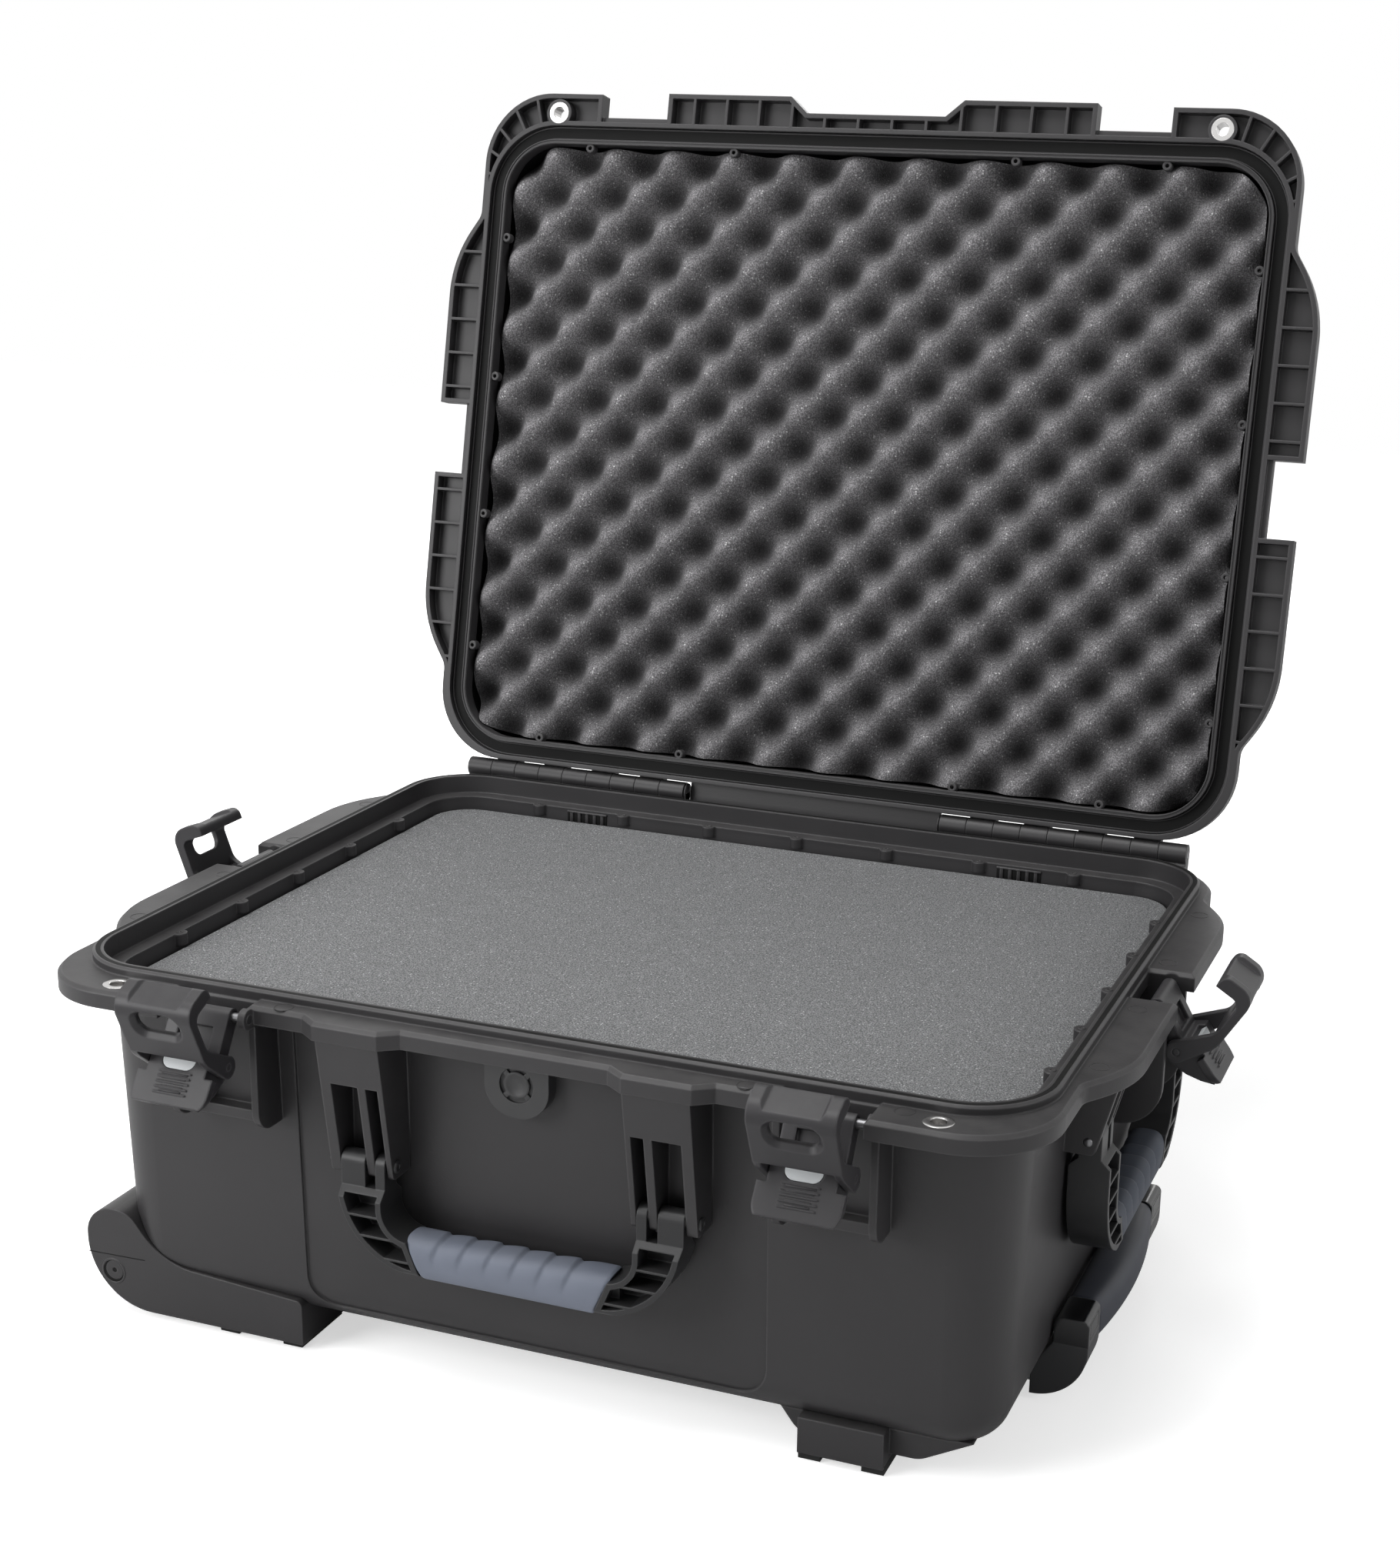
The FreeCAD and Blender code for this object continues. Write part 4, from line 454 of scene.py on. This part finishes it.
def makeFinish(name, spec):
    look = finishLook
    material = bpy.data.materials.new(name)
    material.use_nodes = True
    tree = material.node_tree
    shader = tree.nodes["Principled BSDF"].inputs
    grain = groupNode(tree, mouldGrain, Scale=float(spec["grain"]), Mottle_Scale=look["mottleScale"])
    soft = groupNode(tree, softEdge, Radius=spec["edge"])
    dust = groupNode(tree, settledDust, Amount=spec["dust"])
    colour = spec["colour"]
    dark, light = shade(colour, 1 - spec["vary"]), shade(colour, 1 + spec["vary"])
    mottled = mixColour(tree, grain["Mottle"], dark, light)
    # painted highlight: edges are lightened, partly as real wear and partly as a highlight where they catch
    # the light
    wornAndHighlit = tuple(min(1.0, c * look["wornHighlightGain"] + look["wornHighlightLift"]) for c in colour) + (1,)
    edge = mathNode(tree, "MULTIPLY", soft["Edge"], spec["edgeWearAndHighlight"])
    uneven = mathNode(tree, "ADD", grain["Mottle"], look["edgeEven"])
    edge = mathNode(tree, "MULTIPLY", edge, uneven, True)
    rubbedAndHighlit = mixColour(tree, edge, mottled, wornAndHighlit)
    dusty = mixColour(tree, dust["Mask"], rubbedAndHighlit, look["dustColour"])
    link(tree, dusty, shader["Base Color"])
    patchy = mathNode(tree, "MULTIPLY", grain["Mottle"], look["patchRough"])
    scuffed = mathNode(tree, "MULTIPLY", grain["Scuff"], look["scuffRough"])
    rough = mathNode(tree, "ADD", patchy, scuffed)
    link(tree, mathNode(tree, "ADD", rough, spec["rough"] - look["roughDrop"]), shader["Roughness"])
    shader["Metallic"].default_value = spec.get("metal", 0.0)
    shader["Specular IOR Level"].default_value = spec["specular"]
    bump = tree.nodes.new("ShaderNodeBump")
    bump.inputs["Strength"].default_value = spec["depth"]
    bump.inputs["Distance"].default_value = look["bumpHeight"]
    link(tree, grain["Height"], bump.inputs["Height"])
    link(tree, soft["Normal"], bump.inputs["Normal"])
    link(tree, bump.outputs["Normal"], shader["Normal"])
    return material


foamLook = {
    "vary": 0.14,
    "hollowShade": 0.08,
    "rough": 0.95,
    "specular": 0.1,
    "bump": 0.5,
    "bumpHeight": 0.0008,
}
foams = {
    "base_foam": {
        "colour": (0.278, 0.282, 0.287), "pitShade": 0.45, "glint": (0.80, 0.80, 0.80, 1),
        "glintShare": 0.48, "scale": 1080, "hollow": 0.0,
    },
    "lid_foam": {
        "colour": (0.285, 0.278, 0.288), "pitShade": 0.42, "glint": (0.85, 0.85, 0.85, 1),
        "glintShare": 0.62, "scale": 950, "hollow": 0.97,
    },
}


def makeFoam(name, spec):
    look = foamLook
    material = bpy.data.materials.new(name)
    material.use_nodes = True
    tree = material.node_tree
    shader = tree.nodes["Principled BSDF"].inputs
    cells = groupNode(tree, foamCells, Scale=float(spec["scale"]))
    colour = spec["colour"]
    dark, light = shade(colour, 1 - look["vary"]), shade(colour, 1 + look["vary"])
    mottled = mixColour(tree, cells["Mottle"], dark, light)
    # painted shade: the foam's cell pits darken its colour
    pitShaded = mixColour(tree, cells["Pit Shade"], mottled, shade(colour, spec["pitShade"]))
    # painted highlight: bright glint specks mixed into the foam's colour
    glint = mathNode(tree, "MULTIPLY", cells["Glint Speckle"], spec["glintShare"])
    result = mixColour(tree, glint, pitShaded, spec["glint"])
    if spec["hollow"]:  # painted shade: the egg crate darkens towards its hollows
        depth = tree.nodes.new("ShaderNodeAttribute")
        depth.attribute_name = "hollow"
        deep = mathNode(tree, "MULTIPLY", depth.outputs["Fac"], spec["hollow"])
        result = mixColour(tree, deep, result, shade(colour, look["hollowShade"]))
    link(tree, result, shader["Base Color"])
    shader["Roughness"].default_value = look["rough"]
    shader["Specular IOR Level"].default_value = look["specular"]
    bump = tree.nodes.new("ShaderNodeBump")
    bump.inputs["Strength"].default_value = look["bump"]
    bump.inputs["Distance"].default_value = look["bumpHeight"]
    bump.invert = True
    link(tree, cells["Height"], bump.inputs["Height"])
    link(tree, bump.outputs["Normal"], shader["Normal"])
    return material


materials = {name: makeFinish(name, spec) for name, spec in finishes.items()}
materials.update({name: makeFoam(name, spec) for name, spec in foams.items()})
for entry in frame["record"]["subparts"]:
    mesh = nodes[entry["node"]].data
    mesh.materials.clear()
    mesh.materials.append(materials[entry["material_slot"]])
hingeSteel = makeFinish("hinge_steel", hingePinFinish)
for node in ("hinge_pin_left", "hinge_pin_right", "latch_pivot_pins"):
    nodes[node].data.materials[0] = hingeSteel
print("finishes made:", len(materials) + 1)


# Pieces

def finishPiece(name, bm, body, slotName, sharp=60, pose=None):
    if pose is not None:
        bmesh.ops.transform(bm, matrix=pose, verts=bm.verts)
    bmesh.ops.recalc_face_normals(bm, faces=bm.faces)
    mesh = bpy.data.meshes.new(name)
    bm.to_mesh(mesh)
    bm.free()
    mesh.shade_smooth()
    mesh.set_sharp_from_angle(angle=math.radians(sharp))
    piece = bpy.data.objects.new(name, mesh)
    scene.collection.objects.link(piece)
    mesh.materials.append(materials[slotName])
    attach(piece, body)
    return piece


def roundOff(bm, geom, offset, segments, affect="EDGES"):
    bmesh.ops.bevel(
        bm, geom=geom, offset=offset, offset_type="OFFSET", segments=segments,
        profile=0.5, affect=affect, material=-1,
    )


def vertsOf(grown):
    return [g for g in grown if isinstance(g, bmesh.types.BMVert)]


def rimOf(grown):
    return [g for g in grown if isinstance(g, bmesh.types.BMEdge) and g.is_boundary]


eggCrate = {
    "half": (0.2576, 0.2005),
    "shiftX": -0.0010,  # leaves the dark gap at the right
    "corner": 0.0325,
    "pitch": (0.04284, 0.0459),
    "hollowAt": (-0.0141, 0.0129),  # one hollow's middle, shut frame
    "cuts": (200, 150),
    "tip": 0.2120,
    "height": 0.023,
    "ceiling": 0.2705,
    "bevel": 0.010,
    "ridgeShares": (0.63, 0.37),  # along the two diagonals
    "hollowPower": 0.85,
    "sideHollowShade": 0.6,
    "sway": 0.025,
    "swayWaves": ((31.0, 1.3), (27.0, 0.4)),  # radians per metre and start, along x and y
    "fill": 0.9,
}


def buildEggCrate():
    spec = eggCrate
    halfX, halfY = spec["half"]
    pitchX, pitchY = spec["pitch"]
    firstX, firstY = spec["hollowAt"]
    (swayX, startX), (swayY, startY) = spec["swayWaves"]
    corner = spec["corner"]
    middle = spec["tip"] + spec["height"] / 2
    bm = bmesh.new()
    bmesh.ops.create_grid(bm, x_segments=spec["cuts"][0], y_segments=spec["cuts"][1], size=1.0)
    # per-vertex weight of painted shade, highest in the hollows and on the sides
    hollow = bm.verts.layers.float.new("hollow")
    for vert in bm.verts:
        x, y = vert.co.x * halfX, vert.co.y * halfY
        dx, dy = abs(x) - (halfX - corner), abs(y) - (halfY - corner)
        if dx > 0 and dy > 0:  # round the four corners
            pull = max(dx, dy) / math.hypot(dx, dy)
            x = math.copysign(halfX - corner + dx * pull, x)
            y = math.copysign(halfY - corner + dy * pull, y)
        x += spec["shiftX"]
        a, b = math.tau * (x - firstX) / pitchX, math.tau * (y - firstY) / pitchY
        wave = spec["ridgeShares"][0] * math.cos(a + b) + spec["ridgeShares"][1] * math.cos(a - b)
        sway = spec["sway"] * math.sin(swayX * x + startX) * math.sin(swayY * y + startY)
        vert.co = (x, y, middle + (wave + sway) * spec["height"] / 2)
        vert[hollow] = min(1.0, max(0.0, 0.5 + 0.5 * wave)) ** spec["hollowPower"]
    rim = [e for e in bm.edges if e.is_boundary]
    grown = bmesh.ops.extrude_edge_only(bm, edges=rim)["geom"]
    for vert in vertsOf(grown):
        vert.co.z = spec["ceiling"] - spec["bevel"]
        vert[hollow] = spec["sideHollowShade"]
    grown = bmesh.ops.extrude_edge_only(bm, edges=rimOf(grown))["geom"]
    for vert in vertsOf(grown):
        vert.co.x -= math.copysign(spec["bevel"], vert.co.x)
        vert.co.y -= math.copysign(spec["bevel"], vert.co.y)
        vert.co.z = spec["ceiling"]
    bmesh.ops.contextual_create(bm, geom=rimOf(grown))
    piece = finishPiece("eggCrateFoam", bm, "lid", "lid_foam", pose=lidPose)
    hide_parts("lid_foam")


buildEggCrate()
print("egg crate foam built")

foamStack = {
    "corner": 0.026,
    "cornerSteps": 8,
    "softSteps": 3,
    "fill": 0.9,
    "soft": {"base_foam_sheet": 0.0025, "base_foam_block": 0.003, "base_foam_pad": 0.003},
}


def buildFoamStack():
    spec = foamStack
    for node, soft in spec["soft"].items():
        low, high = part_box(node)
        size = high - low
        bm = bmesh.new()
        bmesh.ops.create_cube(bm, size=1.0)
        bmesh.ops.scale(bm, vec=size, verts=bm.verts)
        bmesh.ops.translate(bm, vec=(low + high) / 2, verts=bm.verts)
        upright = [e for e in bm.edges if abs(e.verts[0].co.z - e.verts[1].co.z) > size.z / 2]
        roundOff(bm, upright, spec["corner"], spec["cornerSteps"])
        level = [e for f in bm.faces if abs(f.normal.z) > 0.9 for e in f.edges]
        roundOff(bm, level, soft, spec["softSteps"])
        piece = finishPiece(node + "_cut", bm, "base", "base_foam", sharp=35)
        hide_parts(node)


buildFoamStack()
print("base foam built")

# Rubber sleeves: section half sizes, half lengths at base and top, and the crescent steps along them
sleeves = {
    "frontGrip": {
        "node": "front_handle_grip", "body": "front_handle", "slot": "front_grip", "along": "x",
        "half": (0.011, 0.012), "square": 3.0, "ends": (0.048, 0.058), "bow": 0.0,
        "steps": 6, "stepFrom": -0.040, "stepPitch": 0.0150, "stepDepth": 0.0015, "lean": 0.35,
    },
    "sideGrip": {
        "node": "side_handle_grip", "body": "side_handle", "slot": "side_grip", "along": "y",
        "half": (0.011, 0.012), "square": 3.0, "ends": (0.048, 0.058), "bow": 0.0,
        "steps": 6, "stepFrom": -0.042, "stepPitch": 0.0150, "stepDepth": 0.0024, "lean": 0.15,
    },
    "pullGrip": {
        "node": "pull_grip", "body": "pull_handle", "slot": "pull_grip", "along": "y",
        "half": (0.0095, 0.012), "square": 3.4, "ends": (0.065, 0.065), "bow": 0.006,
        "steps": 0, "stepFrom": 0.0, "stepPitch": 0.02, "stepDepth": 0.0, "lean": 0.0,
    },
}
sleeveShape = {
    "stations": 110,
    "around": 56,
    "stepFall": 2.2,
    "stepRise": 0.10,
    "stepFoot": 0.42,  # share of the height where the steps fade in
    "stepFade": 0.3,
    "tipFrom": 0.97,
    "tipShrink": 0.06,
}


def softSection(bm, spec):
    # round section drawn out to a soft rectangle, first along local X
    deep, tall = spec["half"]
    power = 2 / spec["square"]
    for vert in bmesh.ops.create_circle(bm, radius=1.0, segments=sleeveShape["around"])["verts"]:
        turn = math.atan2(vert.co.y, vert.co.x)
        c, s = math.cos(turn), math.sin(turn)
        y, z = math.copysign(abs(c) ** power, c) * deep, math.copysign(abs(s) ** power, s) * tall
        vert.co = (-1.0, y, z)


def stepSunk(spec, x, z, height):
    shape = sleeveShape
    share = (x - spec["stepFrom"] + spec["lean"] * (spec["half"][1] - z)) / spec["stepPitch"]
    if not 0 <= share < spec["steps"]:
        return 0.0
    saw = share - math.floor(share)
    sunk = (1 - saw) ** shape["stepFall"] * min(1.0, saw / shape["stepRise"])
    return sunk * max(0.0, min(1.0, (height - shape["stepFoot"]) / shape["stepFade"]))


def buildSleeves():
    shape = sleeveShape
    for name, spec in sleeves.items():
        low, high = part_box(spec["node"])
        middle = (low + high) / 2
        deep, tall = spec["half"]
        if spec["bow"]:
            middle.x = low.x + deep
        bm = bmesh.new()
        softSection(bm, spec)
        edges = list(bm.edges)
        for _ in range(shape["stations"]):
            grown = bmesh.ops.extrude_edge_only(bm, edges=edges)["geom"]
            bmesh.ops.translate(bm, vec=(2.0 / shape["stations"], 0, 0), verts=vertsOf(grown))
            edges = rimOf(grown)
        bmesh.ops.holes_fill(bm, edges=[e for e in bm.edges if e.is_boundary], sides=0)
        base, top = spec["ends"]
        for vert in bm.verts:
            height = 0.5 + 0.5 * vert.co.z / tall
            x = vert.co.x * (base + (top - base) * height)
            shrink = 1 - stepSunk(spec, x, vert.co.z, height) * spec["stepDepth"] / deep
            tip = max(0.0, (abs(vert.co.x) - shape["tipFrom"]) / (1 - shape["tipFrom"]))
            shrink *= 1 - shape["tipShrink"] * tip * tip
            swell = spec["bow"] * (1 - (x / top) ** 2) * (0.5 - 0.5 * vert.co.y / deep)  # outer side only
            vert.co = (x, vert.co.y * shrink - swell, vert.co.z * shrink)
        if spec["along"] == "y":
            quarter = Matrix.Rotation(math.radians(90), 3, "Z")
            bmesh.ops.rotate(bm, verts=bm.verts, cent=(0, 0, 0), matrix=quarter)
        bmesh.ops.translate(bm, vec=middle, verts=bm.verts)
        piece = finishPiece(name, bm, spec["body"], spec["slot"])
        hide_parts(spec["node"])


buildSleeves()
print("rubber grips built")

# Places that more than one fitting uses
ledgePlaces = [((0.062 * i, y, ledgeTop), (0, 0, 1)) for i in range(-3, 4) for y in (-0.1968, 0.1968)]
ledgePlaces += [((x, 0.062 * i, ledgeTop), (0, 0, 1)) for i in range(-2, 3) for x in (-0.2543, 0.2543)]
dishPlaces = [((-0.258, y, 0.025), (0, math.copysign(1, y), 0)) for y in (-sideFace, sideFace)]
towerPins = ((-0.103, -1), (-0.067, 1), (0.067, -1), (0.103, 1))  # x and the way each pin faces
wingMarks = [(x, y) for x in (-0.2788, 0.2788) for y in (-0.127, -0.041, 0.037, 0.127)]
frontMarks = [(x, -0.2174) for x in (-0.207, -0.1276, 0.1276, 0.207)]
lidLoops = [(x, y) for x in (-0.200, -0.096, 0.096, 0.193) for y in (-0.1995, 0.1995)]
lidLoops += [(x, y) for x in (-0.257, 0.257) for y in (-0.138, -0.044, 0.050, 0.141)]

# Small turned fittings: profiles are radius and height in mm, each place has its own axis
fittings = {
    "eyeletRims": {
        "body": "base", "slot": "steel", "closed": True, "steps": 32,
        "profile": [(4.0, -0.6), (4.05, 0.1), (4.6, 0.27), (6.3, 0.3), (7.3, 0.2), (7.7, 0.0), (7.6, -0.2)],
        "places": [((x, -0.2224, flangeTop), (0, 0, 1)) for x in (-0.225, 0.225)],
    },
    "sideTowerPins": {
        "body": "base", "slot": "steel", "closed": False, "steps": 20,
        "profile": [(0, 0.9), (1.3, 0.75), (2.2, 0.4), (2.5, 0.0), (2.5, -0.4), (0, -0.4)],
        "places": [((0.270, y, 0.158), (0, math.copysign(1, y), 0)) for y in (-0.103, 0.103)],
    },
    "frontTowerPins": {
        "body": "base", "slot": "handle_frame", "closed": False, "steps": 20,
        "profile": [(0, 1.0), (1.1, 1.0), (1.3, 1.4), (2.8, 1.4), (3.5, 0.8), (3.6, -0.3), (0, -0.3)],
        "places": [((x, -0.2125, 0.130), (turn, 0, 0)) for x, turn in towerPins],
    },
    "ejectorMarks": {
        "body": "base", "slot": "shell", "closed": True, "steps": 28,
        "profile": [(4.4, -0.1), (4.6, 0.13), (5.1, 0.13), (5.3, -0.1)],
        "places": [((x, y, flangeTop), (0, 0, 1)) for x, y in frontMarks + wingMarks],
    },
    "ledgeScrewSeats": {
        "body": "base", "slot": "shell", "closed": True, "steps": 16,
        "profile": [(1.1, -0.1), (1.15, 0.3), (1.9, 0.3), (2.3, -0.1)],
        "places": ledgePlaces,
    },
    "ledgeScrews": {
        "body": "base", "slot": "steel", "closed": False, "steps": 12,
        "profile": [(0, 0.02), (0.5, 0.1), (1.15, 0.1), (1.15, -0.3), (0, -0.3)],
        "places": ledgePlaces,
    },
    "lidScrewLoops": {
        "body": "lid", "slot": "shell", "closed": True, "steps": 20,
        "profile": [(1.3, 0.3), (1.3, 6.0), (3.1, 6.0), (3.1, 0.8), (2.7, 0.3)],
        "places": [((x, y, lidLip), (0, 0, 1)) for x, y in lidLoops],
    },
    "hingeEndDiscs": {
        "body": "base", "slot": "shell", "closed": False, "steps": 32,
        "profile": [(0, 0.6), (5.4, 0.6), (6.0, 0.3), (6.0, -0.3), (5.4, -0.6), (0, -0.6)],
        "places": [((x, hingeLine.y, hingeLine.z), (1, 0, 0)) for x in (-0.089, 0.089)],
    },
    "valveDisc": {
        "body": "base", "slot": "valve", "closed": False, "steps": 40,
        "profile": [(0, 1.2), (5.2, 1.2), (5.5, 1.45), (6.9, 1.45), (7.2, 1.2), (7.2, 0.0), (0, 0.0)],
        "places": [((0, -0.2065, 0.1845), (0, -1, 0))],
    },
    # painted shade: a dark disc behind the dish floor stands in for the shade in the well
    "axleDishWellShade": {
        "body": "base", "slot": "seal", "closed": False, "steps": 32,
        "profile": [(0, 0.08), (6.6, 0.08), (6.6, -0.2), (0, -0.2)],
        "places": dishPlaces,
    },
    "axleDishFloors": {
        "body": "base", "slot": "shell", "closed": True, "steps": 32,
        "profile": [(1.4, -0.1), (1.4, 0.16), (5.6, 0.16), (5.8, -0.1)],
        "places": [((-0.2573, y, 0.0258), (0, math.copysign(1, y), 0)) for y in (-sideFace, sideFace)],
    },
    "axleDishLips": {
        "body": "base", "slot": "shell", "closed": True, "steps": 36,
        "profile": [(6.5, -0.2), (6.6, 0.3), (7.2, 0.4), (8.0, 0.0), (8.0, -0.2)],
        "places": dishPlaces,
    },
}
valveBridges = {"count": 4, "firstAngle": 45, "size": (0.0040, 0.0012, 0.0030), "out": (0.0080, -0.0006, 0)}
hingeFeet = {"size": (0.0012, 0.0080, 0.0070), "shift": (0, -0.0010, -0.0035)}
smallSoft = 0.0002


def turned(bm, profile, place, axis, steps, closed):
    before = set(bm.verts)
    points = [bm.verts.new((radius * mm, 0, height * mm)) for radius, height in profile]
    lines = [bm.edges.new(pair) for pair in zip(points, points[1:])]
    if closed:
        lines.append(bm.edges.new((points[-1], points[0])))
    bmesh.ops.spin(
        bm, geom=points + lines, cent=(0, 0, 0), axis=(0, 0, 1),
        angle=math.tau, steps=steps, use_merge=True,
    )
    fresh = [v for v in bm.verts if v not in before]
    bmesh.ops.remove_doubles(bm, verts=fresh, dist=1e-7)
    fresh = [v for v in bm.verts if v not in before]
    aim = Vector(axis).to_track_quat("Z", "Y").to_matrix().to_4x4()
    bmesh.ops.transform(bm, matrix=Matrix.Translation(place) @ aim, verts=fresh)


def softBar(bm, size, pose, soft):
    before = set(bm.verts)
    bmesh.ops.create_cube(bm, size=1.0)
    fresh = [v for v in bm.verts if v not in before]
    bmesh.ops.scale(bm, vec=size, verts=fresh)
    roundOff(bm, list({e for v in fresh for e in v.link_edges}), soft, 2)
    fresh = [v for v in bm.verts if v not in before]
    bmesh.ops.transform(bm, matrix=pose, verts=fresh)


def addValveBridges(bm, place):
    # the bridges leave plain arc slots between them
    spec = valveBridges
    for i in range(spec["count"]):
        angle = spec["firstAngle"] + 360 / spec["count"] * i
        spoke = Matrix.Translation(place) @ Matrix.Rotation(math.radians(angle), 4, "Y")
        softBar(bm, spec["size"], spoke @ Matrix.Translation(spec["out"]), smallSoft)


def buildFittings():
    for name, spec in fittings.items():
        bm = bmesh.new()
        for place, axis in spec["places"]:
            turned(bm, spec["profile"], place, axis, spec["steps"], spec["closed"])
        if name == "valveDisc":
            addValveBridges(bm, spec["places"][0][0])
        if name == "hingeEndDiscs":  # short feet down to the flange
            for place, _ in spec["places"]:
                at = Matrix.Translation(Vector(place) + Vector(hingeFeet["shift"]))
                softBar(bm, hingeFeet["size"], at, smallSoft)
        pose = lidPose if spec["body"] == "lid" else None
        piece = finishPiece(name, bm, spec["body"], spec["slot"], sharp=40, pose=pose)
        if name == "sideTowerPins":  # dull like the hinge pins
            piece.data.materials[0] = hingeSteel


buildFittings()
print("small fittings turned")

# Finger ridges on the latch levers: each lever's face by its middle and outward way
leverRidges = {
    "count": 5,
    "pitch": 0.0023,
    "halfLength": 8.0,  # mm, as is all of a ridge's own profile
    "taper": 0.35,
    "radius": 0.75,
    "sink": 0.00025,
    "slope": (0.6018, 0.7986),
    "around": 12,
    "levers": {
        "latch_front_left_lever": ((-0.1695, -0.25725, 0.1766), (0, -1, 0)),
        "latch_front_right_lever": ((0.1695, -0.25725, 0.1766), (0, -1, 0)),
        "latch_left_end_lever": ((-0.31475, 0, 0.1766), (-1, 0, 0)),
        "latch_right_end_lever": ((0.31475, 0, 0.1766), (1, 0, 0)),
    },
}


def ridgeProfile(half, r):
    start = [(0, -half), (0.7 * r, 0.3 * r - half), (r, r - half)]
    return start + [(radius, -height) for radius, height in reversed(start)]


def buildLeverRidges():
    spec = leverRidges
    level, rise = spec["slope"]
    bodies = frame["record"]["behaviour"]["bodies"]
    for node, (place, outward) in spec["levers"].items():
        out = Vector(outward)
        up = Vector((-level * out.x, -level * out.y, rise))
        normal = Vector((rise * out.x, rise * out.y, level))
        across = up.cross(normal)
        bm = bmesh.new()
        for i in range(spec["count"]):
            step = (i - (spec["count"] - 1) / 2) * spec["pitch"]
            profile = ridgeProfile(spec["halfLength"] - spec["taper"] * i, spec["radius"])
            at = Vector(place) - up * step - normal * spec["sink"]
            turned(bm, profile, at, across, spec["around"], False)
        body = next(name for name, members in bodies.items() if node in members)
        finishPiece(node + "_ridges", bm, body, "latch")


buildLeverRidges()
print("lever ridges built")

# Slotted vents on the inner back wall, with a dark sheet of painted shade behind the bars
ventCombs = {
    "middles": (-0.1505, 0.1505),
    "bars": 5,
    "pitch": 0.0056,
    "barSize": (0.0022, 0.0016, 0.010),
    "slotShadeSize": (0.0290, 0.0006, 0.0094),
    "railSize": (0.0290, 0.0016, 0.0013),
    "height": 0.1962,
    "soft": 0.0004,
}


def buildVentCombs():
    spec = ventCombs
    bars, slotShade = bmesh.new(), bmesh.new()
    for middle in spec["middles"]:
        at = Vector((middle, sideFace, spec["height"]))
        back = Vector((0, spec["slotShadeSize"][1] / 2, 0))
        softBar(slotShade, spec["slotShadeSize"], Matrix.Translation(at - back), smallSoft)
        front = Vector((0, -spec["barSize"][1] / 2, 0))
        for i in range(spec["bars"]):
            shift = Vector(((i - (spec["bars"] - 1) / 2) * spec["pitch"], 0, 0))
            softBar(bars, spec["barSize"], Matrix.Translation(at + front + shift), spec["soft"])
        for way in (-1, 1):
            edge = Vector((0, 0, way * spec["slotShadeSize"][2] / 2))
            softBar(bars, spec["railSize"], Matrix.Translation(at + front + edge), spec["soft"])
    finishPiece("ventCombBars", bars, "base", "shell", sharp=40)
    finishPiece("ventCombShade", slotShade, "base", "seal", sharp=40)


# Seam lines on the wheel housings, between two points of x and z
housingSeams = {
    "from": (-0.2738, 0.0345),
    "to": (-0.2370, 0.0354),
    "size": 0.0005,
    "proud": 0.00012,
    "soft": 0.00005,
}


def buildHousingSeams():
    spec = housingSeams
    bm = bmesh.new()
    (startX, startZ), (endX, endZ) = spec["from"], spec["to"]
    start, end = Vector((startX, 0, startZ)), Vector((endX, 0, endZ))
    run = end - start
    turn = Matrix.Rotation(-math.atan2(run.z, run.x), 4, "Y")
    size = (run.length, 2 * spec["proud"], spec["size"])
    for side in (-sideFace, sideFace):
        middle = (start + end) / 2 + Vector((0, side, 0))
        softBar(bm, size, Matrix.Translation(middle) @ turn, spec["soft"])
    finishPiece("housingSeams", bm, "base", "seal", sharp=40)


buildVentCombs()
buildHousingSeams()
print("wall details built")

# Fine loops round the two rims: outer half sizes, corner, width, height and start level
rimLoops = {
    # painted shade: a thin dark strip stands in for the shade of a groove on the rim top
    "baseRimGrooveShade": {
        "body": "base", "slot": "seal", "half": (0.2683, 0.2108), "corner": 0.0433,
        "width": 0.0026, "height": 0.00006, "level": 0.21498,
    },
    "lidLipOuterBead": {
        "body": "lid", "slot": "shell", "half": (0.2623, 0.2048), "corner": 0.0373,
        "width": 0.0007, "height": -0.0008, "level": 0.2105,
    },
    "sealInnerBead": {
        "body": "lid", "slot": "shell", "half": (0.2637, 0.2062), "corner": 0.0387,
        "width": 0.0007, "height": -0.0011, "level": 0.2155,
    },
    "sealOuterBead": {
        "body": "lid", "slot": "shell", "half": (0.2712, 0.2137), "corner": 0.0462,
        "width": 0.0008, "height": -0.0011, "level": 0.2155,
    },
    "lidLipInnerBead": {
        "body": "lid", "slot": "shell", "half": (0.2603, 0.2028), "corner": 0.0353,
        "width": 0.0007, "height": -0.0008, "level": 0.2105,
    },
}
loopCornerSteps = 14


def buildRimLoops():
    for name, spec in rimLoops.items():
        bm = bmesh.new()
        bmesh.ops.create_grid(bm, x_segments=1, y_segments=1, size=1.0)
        bmesh.ops.scale(bm, vec=(*spec["half"], 1.0), verts=bm.verts)
        roundOff(bm, bm.verts[:], spec["corner"], loopCornerSteps, "VERTICES")
        middle = bm.faces[:]
        ring = bmesh.ops.inset_region(
            bm, faces=middle, thickness=spec["width"], use_boundary=True, use_even_offset=True,
        )["faces"]
        bmesh.ops.delete(bm, geom=middle, context="FACES")
        grown = bmesh.ops.extrude_face_region(bm, geom=ring, use_keep_orig=True)["geom"]
        bmesh.ops.translate(bm, vec=(0, 0, spec["height"]), verts=vertsOf(grown))
        bmesh.ops.translate(bm, vec=(0, 0, spec["level"]), verts=bm.verts)
        pose = lidPose if spec["body"] == "lid" else None
        finishPiece(name, bm, spec["body"], spec["slot"], sharp=40, pose=pose)


buildRimLoops()
print("rim loops built")
